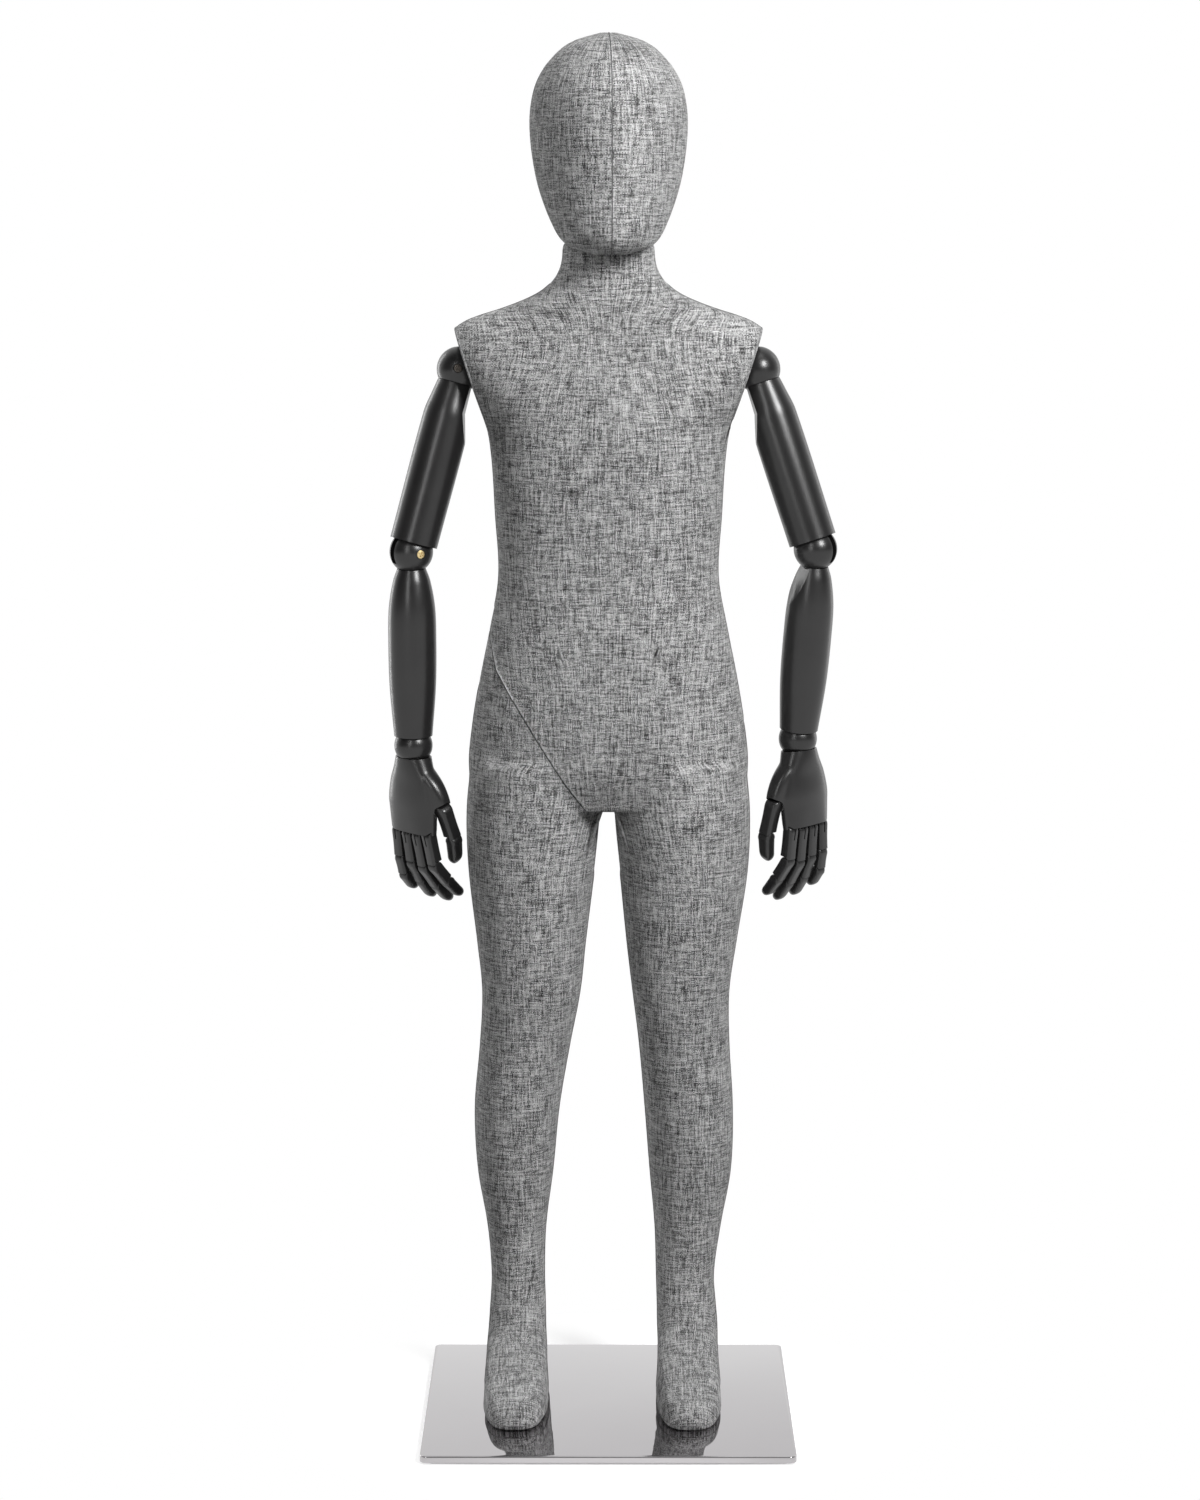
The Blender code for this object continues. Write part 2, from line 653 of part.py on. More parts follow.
def forearm(name, side, parent):
    length = FORE_LENGTH
    end = length - 0.0085
    stations = arm_stations(
        [(0.0135, 0.0115), (0.024, 0.0152), (0.045, 0.0188), (0.070, FORE_RADIUS), (0.110, 0.0190), (end, 0.0157)]
    )
    made = piece(name, lofted(stations, 10, 16), WOOD, parent)
    facet = [(-0.0046, 0.010), (-0.0046, -0.008), (-0.0200, -0.0475), (-0.050, -0.0475), (-0.050, 0.010)]
    flat = cutter(name + "_facet", mirrored(prism(facet, -0.03, 0.03), side), parent, degrees(FORE_FACET_TURN, "Z"))
    boolean(made, "DIFFERENCE", flat)
    cup = cutter(name + "_cup", hollow(ELBOW_BALL + FIT), parent)
    boolean(made, "DIFFERENCE", cup)
    low_cup = cutter(name + "_low_cup", hollow(WRIST_BALL + FIT), parent, move(z=-length))
    boolean(made, "DIFFERENCE", low_cup)
    bore = cylinder(DOWEL_RADIUS + GAP, -ELBOW_BALL - DOWEL_LENGTH - GAP, 0)
    boolean(made, "DIFFERENCE", cutter(name + "_bore", bore, parent))
    low_bore = cylinder(DOWEL_RADIUS + GAP, -length, -length + WRIST_BALL + DOWEL_LENGTH + GAP)
    boolean(made, "DIFFERENCE", cutter(name + "_low_bore", low_bore, parent))


def palm(name, side, parent):
    """The palm is flat across X, with the thumb's lobe at -Y."""
    stations = [
        (-PALM_LENGTH + 0.0005, 0, 0, PALM_HALF_THICK * 0.85, PALM_HALF_WIDTH),
        (-0.056, 0, -0.0005, PALM_HALF_THICK, PALM_HALF_WIDTH + 0.0005),
        (-0.045, 0.0006, -0.0010, PALM_HALF_THICK * 1.05, PALM_HALF_WIDTH + 0.0005),
        (-0.028, 0, 0, 0.0115, 0.0215),
        (-0.009, 0, 0, 0.0130, 0.0140),
    ]
    made = piece(name, lofted(stations, 9, 18, 2.4), WOOD, parent)
    lobe_stations = [
        (-0.0500, -0.0070, -0.0260, 0.0078, 0.0085),
        (-0.0400, -0.0055, -0.0220, 0.0088, 0.0100),
        (-0.0200, -0.0010, -0.0080, 0.0085, 0.0085),
    ]
    lobe = cutter(name + "_lobe", mirrored(lofted(lobe_stations, 4, 14, 2.2), side), parent)
    boolean(made, "UNION", lobe)
    cup = cutter(name + "_cup", hollow(WRIST_BALL + FIT), parent)
    boolean(made, "DIFFERENCE", cup)
    boolean(made, "UNION", cutter(name + "_tongue", tongue(-0.020, WRIST_TONGUE), parent))
    return made


def bone(length, radius, half_width, tip=False):
    """One finger bone for the left hand: round at its own hinge, and cut round at the next.

    The palm side is -X. The next bone swings towards it, so that side is cut back.
    """
    over = radius + 0.0004
    outline = arc(0, 0, radius, 180, 0, 6)
    if tip:
        outline += [(radius * 0.95, -length * 0.55)]
        outline += arc(-radius * 0.25, -length + radius * 0.62, radius * 0.62, 0, -180, 4)
        outline += [(-radius * 0.98, -length * 0.5)]
    else:
        corner = math.sqrt(over**2 - (0.93 * radius) ** 2)
        start = math.degrees(math.atan2(corner, 0.93 * radius))
        outline += [(radius, -length + corner + 0.0008)]
        outline += arc(0, -length, over, start, 96, 4)
        outline += [(-radius, -length + over)]
    return prism(outline, -half_width, half_width)


def knuckle_room(radius, half_width):
    """The space of a knuckle in the palm: round, and open on the palm side, which is -X."""
    far = 4 * radius
    outline = arc(0, 0, radius, -60, 90, 5) + [(-far, radius), (-far, -far), (radius / 2, -far)]
    return prism(outline, -half_width, half_width)


def make_finger(hand_name, finger, root_place, lengths, radius, half_width, curls, side, palm_frame):
    """Bones in a chain. The first two or all three end in the next one's hinge."""
    parent, place = palm_frame, root_place
    names = ("proximal", "middle", "distal") if len(lengths) == 3 else ("proximal", "distal")
    for k, (bone_name, length) in enumerate(zip(names, lengths)):
        name = f"{hand_name}_{finger}_{bone_name}"
        frame = axis_empty(name, parent, place @ degrees(side * curls[k], "Y"))
        shape = bone(length, radius * (1 - 0.03 * k), half_width * (1 - 0.03 * k), tip=k == len(lengths) - 1)
        piece(name, mirrored(shape, side), WOOD, frame)
        parent, place = frame, move(z=-length)


def make_hand(side_name, side, palm_frame):
    hand = palm(f"{side_name}_palm", side, palm_frame)
    for k, (finger, (knuckle, lengths, curls)) in enumerate(FINGERS.items()):
        place = move(y=(k - 1.5) * FINGER_PITCH, z=-knuckle)
        make_finger(side_name, finger, place, lengths, FINGER_RADIUS, FINGER_HALF_WIDTH, curls, side, palm_frame)
        room = mirrored(knuckle_room(FINGER_RADIUS + 2 * FIT, FINGER_HALF_WIDTH + FIT), side)
        boolean(hand, "DIFFERENCE", cutter(f"{side_name}_{finger}_room", room, palm_frame, place))
    x, y, z = THUMB_ROOT
    place = (
        move(-side * x, y, z)
        @ degrees(-THUMB_SPREAD, "X")
        @ degrees(side * THUMB_LIFT, "Y")
        @ degrees(-side * THUMB_ROLL, "Z")
    )
    width = THUMB_RADIUS
    make_finger(side_name, "thumb", place, THUMB_LENGTHS, THUMB_RADIUS, width, THUMB_CURL, side, palm_frame)
    room = sphere(THUMB_RADIUS * 1.5)
    boolean(hand, "DIFFERENCE", cutter(f"{side_name}_thumb_room", room, palm_frame, place))
    beside = THUMB_RADIUS + FIT
    path = block((-beside, -beside, -THUMB_LENGTHS[0]), (beside, beside, 0))
    folded = place @ degrees(side * THUMB_MOST, "Y")
    boolean(hand, "DIFFERENCE", cutter(f"{side_name}_thumb_path", path, palm_frame, folded))


def make_arm(side_name, root):
    side, pose = SIDES[side_name], POSES[side_name]
    turned_pivot = armhole_frame(side) @ degrees(-side * pose["forward"], "Z")
    pivot_frame = axis_empty(f"{side_name}_shoulder_turn", root, turned_pivot)
    arm_frame = degrees(-armhole_tilt(side) - side * pose["lean"], "Y")
    swing = axis_empty(f"{side_name}_arm_swing", pivot_frame, arm_frame)

    radius = SHOULDER_BALL
    pivot = cylinder(PIVOT_RADIUS, -radius - PIVOT_DEPTH, -radius - 2 * FIT - 0.0005)
    shaft = piece(f"{side_name}_shoulder_pivot", pivot, STEEL, pivot_frame)
    blade = cutter(f"{side_name}_pivot_tongue", tongue(-radius - 0.004, PIVOT_TONGUE), pivot_frame)
    boolean(shaft, "UNION", blade)
    for pin_cut in pin_room(f"{side_name}_pivot", radius, pivot_frame, side):
        boolean(shaft, "DIFFERENCE", pin_cut)

    reach = radius + 0.002
    room = TONGUE_RADIUS + FIT
    ball(f"{side_name}_shoulder_ball", radius, (-reach, -room), (room, reach), -1, swing, side)
    hinge_pin(f"{side_name}_shoulder_screw", radius, swing, side)

    upper_arm(f"{side_name}_upper_arm", side, swing)
    elbow_place = move(z=-UPPER_LENGTH) @ degrees(-side * pose["screw"], "Z")
    hinge = axis_empty(f"{side_name}_elbow_hinge", swing, elbow_place)
    arm = bpy.data.objects[f"{side_name}_upper_arm"]
    elbow_cup = hollow(ELBOW_BALL + FIT)
    boolean(arm, "DIFFERENCE", cutter(f"{side_name}_elbow_cup", elbow_cup, hinge))
    boolean(arm, "UNION", cutter(f"{side_name}_elbow_tongue", tongue(ELBOW_BALL + 0.004), hinge))
    for pin_cut in pin_room(f"{side_name}_elbow_tongue", ELBOW_BALL, hinge, side):
        boolean(arm, "DIFFERENCE", pin_cut)

    bend = axis_empty(f"{side_name}_elbow_bend", hinge, degrees(side * pose["elbow"], "Y"))
    reach = ELBOW_BALL + 0.002
    ball(f"{side_name}_elbow_ball", ELBOW_BALL, (-reach, -room), (reach, reach), -1, bend, side)
    hinge_pin(f"{side_name}_elbow_screw", ELBOW_BALL, bend, side)
    forearm(f"{side_name}_forearm", side, bend)

    wrist_place = move(z=-FORE_LENGTH) @ degrees(-side * pose["hand"], "Z")
    wrist = axis_empty(f"{side_name}_wrist_turn", bend, wrist_place)
    slot_reach = 0.75 * WRIST_BALL
    slot = ((-slot_reach, -WRIST_BALL - 0.002), (slot_reach, WRIST_TONGUE + FIT))
    ball(f"{side_name}_wrist_ball", WRIST_BALL, *slot, 1, wrist, side, False)
    hand = axis_empty(f"{side_name}_hand_bend", wrist, degrees(side * pose["wrist"], "Y"))
    make_hand(side_name, side, hand)


base_root = axis_empty("root", None, Matrix())
bpy.context.view_layer.update()
spigot_stand = make_base(base_root)
make_body(base_root, spigot_stand)
for arm_side in SIDES:
    make_arm(arm_side, base_root)
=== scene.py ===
"""Child-size display mannequin: linen over moulded shells, jointed wooden arms, polished base plate."""

import json
import math

import bmesh
import bpy
import numpy as np
from mathutils import Matrix, Vector
from mathutils.bvhtree import BVHTree


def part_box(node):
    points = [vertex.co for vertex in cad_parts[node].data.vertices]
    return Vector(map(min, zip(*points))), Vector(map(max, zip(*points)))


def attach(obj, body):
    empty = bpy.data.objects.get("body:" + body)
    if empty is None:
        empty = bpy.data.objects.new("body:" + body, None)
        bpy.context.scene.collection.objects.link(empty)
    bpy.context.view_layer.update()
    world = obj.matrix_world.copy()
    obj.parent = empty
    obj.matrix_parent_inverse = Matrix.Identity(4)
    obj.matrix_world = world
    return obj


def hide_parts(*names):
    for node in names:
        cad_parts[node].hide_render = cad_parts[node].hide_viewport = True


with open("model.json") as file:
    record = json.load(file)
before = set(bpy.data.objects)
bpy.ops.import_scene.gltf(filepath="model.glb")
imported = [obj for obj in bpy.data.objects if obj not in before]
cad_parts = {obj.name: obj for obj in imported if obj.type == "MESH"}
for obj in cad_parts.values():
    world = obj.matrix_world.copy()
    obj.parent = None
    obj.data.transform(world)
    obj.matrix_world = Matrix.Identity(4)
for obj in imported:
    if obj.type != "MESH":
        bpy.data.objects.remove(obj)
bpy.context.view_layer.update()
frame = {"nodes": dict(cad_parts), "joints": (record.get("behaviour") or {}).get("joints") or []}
joints = {joint["name"]: joint for joint in frame["joints"]}

# The room: a white floor that fades into a white studio sweep, with two large soft boxes, a
# narrow strip behind each shoulder, and the camera a little above the mannequin's chest.
WHITE = (1.0, 1.0, 1.0, 1)
PAPER = (0.93, 0.93, 0.93, 1)
FLOOR_HALF, FLOOR_DROP = 9.0, 0.0002  # metres, and how far it lies under the felt
SWEEP_START, SWEEP_END = 0.15, 0.27  # where the paper floor fades into pure white
PAPER_LIFT, FLOOR_BOUNCE = 0.42, 0.12  # its glow as seen, and as it lights the mannequin
ROOM_GLOW, SWEEP_FILL = 0.09, 0.55  # the dark side of the room, and the sweep's share of light
SOFT_BOXES = [  # name, place, what it points at, size, watts
    ("key_soft_box", (1.3, -1.65, 2.05), (0, 0, 1.2), (0.75, 0.9), 66),
    ("fill_soft_box", (-0.95, -2.2, 1.45), (0, 0, 0.85), (0.42, 1.6), 12),
    ("top_soft_box", (0.3, -0.5, 2.6), (0, 0, 0.6), (1.2, 0.8), 6),
    ("left_rim_strip", (-1.3, 1.1, 1.0), (0, 0, 0.6), (0.3, 1.8), 9),
    ("right_rim_strip", (1.4, 1.2, 1.0), (0, 0, 0.6), (0.3, 1.8), 3),
]
CAMERA_PLACE, CAMERA_LENS = (0, -3.1739, 1.03095), 95.04
CAMERA_DOWN, CAMERA_PAN = 8.587, 0.123  # degrees


def put(tree, kind, values=None, **settings):
    """Adds a node. values maps an input's name or number to a number or to another node's output."""
    node = tree.nodes.new(kind)
    for name, value in settings.items():
        setattr(node, name, value)
    for key, value in (values or {}).items():
        socket = node.inputs[key]
        if isinstance(value, bpy.types.NodeSocket):
            tree.links.new(value, socket)
        else:
            socket.default_value = value
    return node


def maths(tree, operation, *values, clamp=False):
    """A Math node's output, for one, two or three values."""
    node = put(tree, "ShaderNodeMath", dict(enumerate(values)), operation=operation)
    node.use_clamp = clamp
    return node.outputs[0]


def empty_material(name):
    made = bpy.data.materials.new(name)
    made.use_nodes = True
    made.node_tree.nodes.clear()
    return made, made.node_tree


def studio_white():
    made, tree = empty_material("studio_white")
    place = put(tree, "ShaderNodeTexCoord").outputs["Object"]
    away = put(tree, "ShaderNodeVectorMath", {0: place}, operation="LENGTH").outputs["Value"]
    fade = put(
        tree,
        "ShaderNodeMapRange",
        {"Value": away, "From Min": SWEEP_START, "From Max": SWEEP_END},
        interpolation_type="SMOOTHSTEP",
    ).outputs["Result"]
    paper = put(tree, "ShaderNodeBsdfDiffuse", {"Color": PAPER})
    lift = put(tree, "ShaderNodeEmission", {"Color": WHITE, "Strength": PAPER_LIFT})
    lit = put(tree, "ShaderNodeAddShader", {0: paper.outputs[0], 1: lift.outputs[0]})
    glow = put(tree, "ShaderNodeEmission", {"Color": WHITE, "Strength": 1.0})
    mixed = put(tree, "ShaderNodeMixShader", {0: fade, 1: lit.outputs[0], 2: glow.outputs[0]})
    bounce = put(tree, "ShaderNodeEmission", {"Color": WHITE, "Strength": FLOOR_BOUNCE})
    onto = put(tree, "ShaderNodeLightPath").outputs["Is Diffuse Ray"]
    shown = put(tree, "ShaderNodeMixShader", {0: onto, 1: mixed.outputs[0], 2: bounce.outputs[0]})
    put(tree, "ShaderNodeOutputMaterial", {"Surface": shown.outputs[0]})
    return made


def add_floor():
    mesh = bpy.data.meshes.new("studio_floor")
    corners = ((-1, -1), (1, -1), (1, 1), (-1, 1))
    places = [(x * FLOOR_HALF, y * FLOOR_HALF, -FLOOR_DROP) for x, y in corners]
    mesh.from_pydata(places, [], [(0, 1, 2, 3)])
    mesh.materials.append(studio_white())
    floor = bpy.data.objects.new("studio_floor", mesh)
    bpy.context.scene.collection.objects.link(floor)


def add_soft_box(name, place, look_at, size, power):
    light = bpy.data.lights.new(name, "AREA")
    light.shape = "RECTANGLE"
    light.size, light.size_y = size
    light.energy = power
    holder = bpy.data.objects.new(name, light)
    holder.location = place
    holder.rotation_euler = (Vector(look_at) - Vector(place)).to_track_quat("-Z", "Y").to_euler()
    bpy.context.scene.collection.objects.link(holder)


def studio_world():
    """A white sweep behind the mannequin and a dim room before it. Seen directly, it is all white."""
    world = bpy.data.worlds.new("white_studio")
    world.use_nodes = True
    tree = world.node_tree
    sky = tree.nodes["Background"]
    sky.inputs["Color"].default_value = WHITE
    toward = put(tree, "ShaderNodeTexCoord").outputs["Generated"]
    depth = put(tree, "ShaderNodeSeparateXYZ", {0: toward}).outputs["Y"]
    sweep = {"Value": depth, "From Min": -0.25, "From Max": 0.55, "To Min": ROOM_GLOW, "To Max": 1.0}
    fill = put(tree, "ShaderNodeMapRange", sweep, interpolation_type="SMOOTHSTEP").outputs["Result"]
    path = put(tree, "ShaderNodeLightPath").outputs
    less = maths(tree, "SUBTRACT", 1.0, maths(tree, "MULTIPLY", path["Is Diffuse Ray"], 1 - SWEEP_FILL))
    glow = maths(tree, "MULTIPLY", fill, less)
    tree.links.new(maths(tree, "MAXIMUM", glow, path["Is Camera Ray"]), sky.inputs["Strength"])
    return world


add_floor()
bpy.context.scene.world = studio_world()
bpy.context.scene.view_settings.view_transform = "Standard"
for soft_box in SOFT_BOXES:
    add_soft_box(*soft_box)
camera = bpy.data.cameras.new("camera")
camera.sensor_width = 36
camera.lens = CAMERA_LENS
viewer = bpy.data.objects.new("camera", camera)
viewer.location = CAMERA_PLACE
viewer.rotation_euler = (math.radians(90 - CAMERA_DOWN), 0, math.radians(CAMERA_PAN))
bpy.context.scene.collection.objects.link(viewer)
bpy.context.scene.camera = viewer

# The base: a 300 mm square of polished stainless steel with rounded corners, on a thin felt
# pad. A turned steel spigot, held from below by a countersunk screw, stands in the left foot.
PLATE_ARC_STEPS = 10
PLATE_CORNER = 0.006
PLATE_BEVEL = 0.0008


def surface(tree, values, bump=None):
    """A Principled shader and its output. bump is a height socket and its distance in metres."""
    shader = put(tree, "ShaderNodeBsdfPrincipled", values)
    if bump:
        height, distance = bump
        raised = put(tree, "ShaderNodeBump", {"Height": height, "Strength": 1.0, "Distance": distance})
        tree.links.new(raised.outputs["Normal"], shader.inputs["Normal"])
    put(tree, "ShaderNodeOutputMaterial", {"Surface": shader.outputs[0]})
    return shader


def noise(tree, place, scale, detail=2.0, stretch=(1, 1, 1), seed=0.0, rough=0.5):
    """A noise texture's value over a stretched copy of place."""
    sizes, shift = tuple(scale * s for s in stretch), (seed, seed * 1.7, -seed)
    spread = put(tree, "ShaderNodeMapping", {"Vector": place, "Scale": sizes, "Location": shift}).outputs[0]
    values = {"Vector": spread, "Scale": 1.0, "Detail": detail, "Roughness": rough}
    return put(tree, "ShaderNodeTexNoise", values).outputs["Fac"]


def ramp(tree, value, stops, interpolation="LINEAR"):
    """A colour ramp's colour. stops are (position, grey or colour)."""
    node = put(tree, "ShaderNodeValToRGB", {"Fac": value})
    node.color_ramp.interpolation = interpolation
    while len(node.color_ramp.elements) < len(stops):
        node.color_ramp.elements.new(0.5)
    for element, (position, colour) in zip(node.color_ramp.elements, stops):
        element.position = position
        element.color = (*colour, 1) if isinstance(colour, tuple) else (colour, colour, colour, 1)
    return node.outputs["Color"]


def object_place(tree):
    return put(tree, "ShaderNodeTexCoord").outputs["Object"]


def metal(name, colour, roughness, wear, grain=(1, 1, 1), dull=0.86, depth=0.00002):
    """A metal with fine scratches along the grain's long way and a slight smudging."""
    made, tree = empty_material(name)
    place = object_place(tree)
    scratches = noise(tree, place, 900, 3, grain, 2.0)
    smudge = noise(tree, place, 14, 4, seed=5.0)
    darker = tuple(dull * c for c in colour)
    shade = ramp(tree, smudge, [(0.35, darker), (0.65, colour)])
    rough = ramp(tree, scratches, [(0.3, roughness), (0.75, roughness + wear)])
    surface(tree, {"Base Color": shade, "Metallic": 1.0, "Roughness": rough}, (scratches, depth))
    return made


MIRROR_STEEL = metal("mirror_steel", (0.462, 0.448, 0.457), 0.025, 0.012, (1, 0.05, 1), 0.985, 0.000004)
TURNED_STEEL = metal("turned_steel", (0.42, 0.42, 0.43), 0.25, 0.2, (1, 1, 0.2))
YELLOW_ZINC = metal("yellow_zinc", (0.78, 0.62, 0.33), 0.3, 0.2)


def felt_pad():
    made, tree = empty_material("black_felt")
    place = object_place(tree)
    fluff = noise(tree, place, 1800, 4)
    black = ramp(tree, fluff, [(0.3, 0.008), (0.8, 0.05)])
    surface(tree, {"Base Color": black, "Roughness": 0.98, "Sheen Weight": 0.4}, (fluff, 0.0003))
    return made


def piece_from(name, shape, finish, body, stands_for=(), smooth=40):
    """Makes a bmesh a piece of the mannequin that rides on a body."""
    mesh = bpy.data.meshes.new(name)
    shape.to_mesh(mesh)
    shape.free()
    return piece_from_mesh(name, mesh, finish, body, stands_for, smooth)


def piece_from_mesh(name, mesh, finish, body, stands_for=(), smooth=40):
    mesh.name = name
    mesh.materials.clear()
    mesh.materials.append(finish)
    mesh.shade_smooth()
    if smooth:
        mesh.set_sharp_from_angle(angle=math.radians(smooth))
    made = bpy.data.objects.new(name, mesh)
    bpy.context.scene.collection.objects.link(made)
    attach(made, body)
    if stands_for:
        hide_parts(*stands_for)
    return made


def refinish(node, finish):
    """Gives a CAD node its material."""
    mesh = frame["nodes"][node].data
    mesh.materials.clear()
    mesh.materials.append(finish)


def arc(x, y, radius, start, end, steps):
    """Points on a circle by angles in degrees."""
    turn = [math.radians(start + (end - start) * k / steps) for k in range(steps + 1)]
    return [(x + radius * math.cos(t), y + radius * math.sin(t)) for t in turn]


def prism(outline, low, high):
    """An outline of (x, y) points drawn up Z from low to high, as a closed bmesh."""
    shape = bmesh.new()
    under = [shape.verts.new((x, y, low)) for x, y in outline]
    over = [shape.verts.new((x, y, high)) for x, y in outline]
    for i in range(len(outline)):
        j = (i + 1) % len(outline)
        shape.faces.new((under[i], under[j], over[j], over[i]))
    shape.faces.new(under[::-1])
    shape.faces.new(over)
    bmesh.ops.recalc_face_normals(shape, faces=shape.faces)
    return shape


def final_mesh(made):
    """The object's mesh with its modifiers applied. The object itself is removed."""
    seen = made.evaluated_get(bpy.context.evaluated_depsgraph_get())
    mesh = bpy.data.meshes.new_from_object(seen)
    bpy.data.objects.remove(made)
    return mesh


def loose(name, shape):
    """A bmesh as a plain object that only modifiers use."""
    mesh = bpy.data.meshes.new(name)
    shape.to_mesh(mesh)
    shape.free()
    made = bpy.data.objects.new(name, mesh)
    bpy.context.scene.collection.objects.link(made)
    return made


def softened(shape, width, segments=3, angle=35):
    """The bmesh with its sharp edges rounded off, as a mesh."""
    made = loose("softening", shape)
    edge = made.modifiers.new("round_edges", "BEVEL")
    edge.width, edge.segments = width, segments
    edge.limit_method, edge.angle_limit = "ANGLE", math.radians(angle)
    edge.harden_normals = False
    return final_mesh(made)


plate_low, plate_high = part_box("base_plate")
corner_x, corner_y = plate_high.x - PLATE_CORNER, plate_high.y - PLATE_CORNER
plate_outline = []
for turn, (sx, sy) in enumerate(((1, 1), (-1, 1), (-1, -1), (1, -1))):
    start = 90 * turn
    plate_outline += arc(sx * corner_x, sy * corner_y, PLATE_CORNER, start, start + 90, PLATE_ARC_STEPS)
plate = softened(prism(plate_outline, plate_low.z, plate_high.z), PLATE_BEVEL, 3, 60)
piece_from_mesh("polished_plate", plate, MIRROR_STEEL, "base", ["base_plate"], 30)
refinish("base_felt", felt_pad())
refinish("foot_spigot", TURNED_STEEL)
refinish("spigot_screw", YELLOW_ZINC)

# The linen: grey melange yarns, lighter and darker along their length, in a plain weave with
# thick slubs both ways. It is glued tight over the shells, so it shows no loose folds.
WEFT_PITCH = 0.00095  # one yarn to the next
YARN_RUN = 0.0075  # how far a yarn keeps its shade
YARN_STEP, SLUB_STEP = 7.31, 3.17  # uneven steps, so that neighbouring yarns are unlike
SLUB_START, SLUB_RISE = 0.67, 9.0  # how rare a thick slub is, and how sudden


def yarn_group():
    """A node group: cloth place in metres in, the yarns' shade, slubs and height out."""
    tree = bpy.data.node_groups.new("linen_yarns", "ShaderNodeTree")
    for name, kind, start in (
        ("Cloth", "NodeSocketVector", None),
        ("Pitch", "NodeSocketFloat", WEFT_PITCH),
        ("Run", "NodeSocketFloat", YARN_RUN),
        ("Seed", "NodeSocketFloat", 0.0),
    ):
        made = tree.interface.new_socket(name, in_out="INPUT", socket_type=kind)
        if start is not None:
            made.default_value = start
    for name in ("Shade", "Slub", "Height"):
        tree.interface.new_socket(name, in_out="OUTPUT", socket_type="NodeSocketFloat")
    given = put(tree, "NodeGroupInput").outputs
    parts = put(tree, "ShaderNodeSeparateXYZ", {0: given["Cloth"]}).outputs
    rows = maths(tree, "DIVIDE", parts["Y"], given["Pitch"])
    columns = maths(tree, "DIVIDE", parts["X"], given["Pitch"])
    shades, slubs, profiles = [], [], []
    for count, along, offset in ((rows, parts["X"], 3.7), (columns, parts["Y"], 9.1)):
        yarn = maths(tree, "FLOOR", count)
        run = maths(tree, "DIVIDE", along, given["Run"])
        seed = maths(tree, "ADD", given["Seed"], offset)
        lane = maths(tree, "MULTIPLY", yarn, YARN_STEP)
        where = put(tree, "ShaderNodeCombineXYZ", {0: run, 1: lane, 2: seed}).outputs[0]
        values = {"Vector": where, "Scale": 1.0, "Detail": 3.0, "Roughness": 0.65}
        shades.append(put(tree, "ShaderNodeTexNoise", values).outputs["Fac"])
        slow, lane = maths(tree, "MULTIPLY", run, 0.42), maths(tree, "MULTIPLY", yarn, SLUB_STEP)
        apart = maths(tree, "ADD", seed, 40)
        where = put(tree, "ShaderNodeCombineXYZ", {0: slow, 1: lane, 2: apart}).outputs[0]
        values = {"Vector": where, "Scale": 1.0, "Detail": 1.0}
        swell = put(tree, "ShaderNodeTexNoise", values).outputs["Fac"]
        thick = maths(tree, "SUBTRACT", swell, SLUB_START)
        slubs.append(maths(tree, "MULTIPLY", thick, SLUB_RISE, clamp=True))
        share = maths(tree, "SUBTRACT", maths(tree, "FRACT", count), 0.5)
        fall = maths(tree, "MULTIPLY", maths(tree, "MULTIPLY", share, share), 4.0)
        profiles.append(maths(tree, "SUBTRACT", 1.0, fall))
    both = maths(tree, "ADD", maths(tree, "FLOOR", rows), maths(tree, "FLOOR", columns))
    over = maths(tree, "PINGPONG", both, 1.0)
    shade = put(tree, "ShaderNodeMix", {0: over, 2: shades[0], 3: shades[1]}).outputs[0]
    height = put(tree, "ShaderNodeMix", {0: over, 2: profiles[0], 3: profiles[1]}).outputs[0]
    slub = maths(tree, "MAXIMUM", slubs[0], slubs[1])
    put(tree, "NodeGroupOutput", {"Shade": shade, "Slub": slub, "Height": maths(tree, "ADD", height, slub)})
    return tree


YARNS = yarn_group()
LINEN_SHADES = [(0.27, 0.025), (0.40, 0.12), (0.49, 0.29), (0.58, 0.50), (0.72, 0.72)]
SLUB_SHADE = (0.62, 0.62, 0.62, 1)
YARN_RELIEF = 0.00022


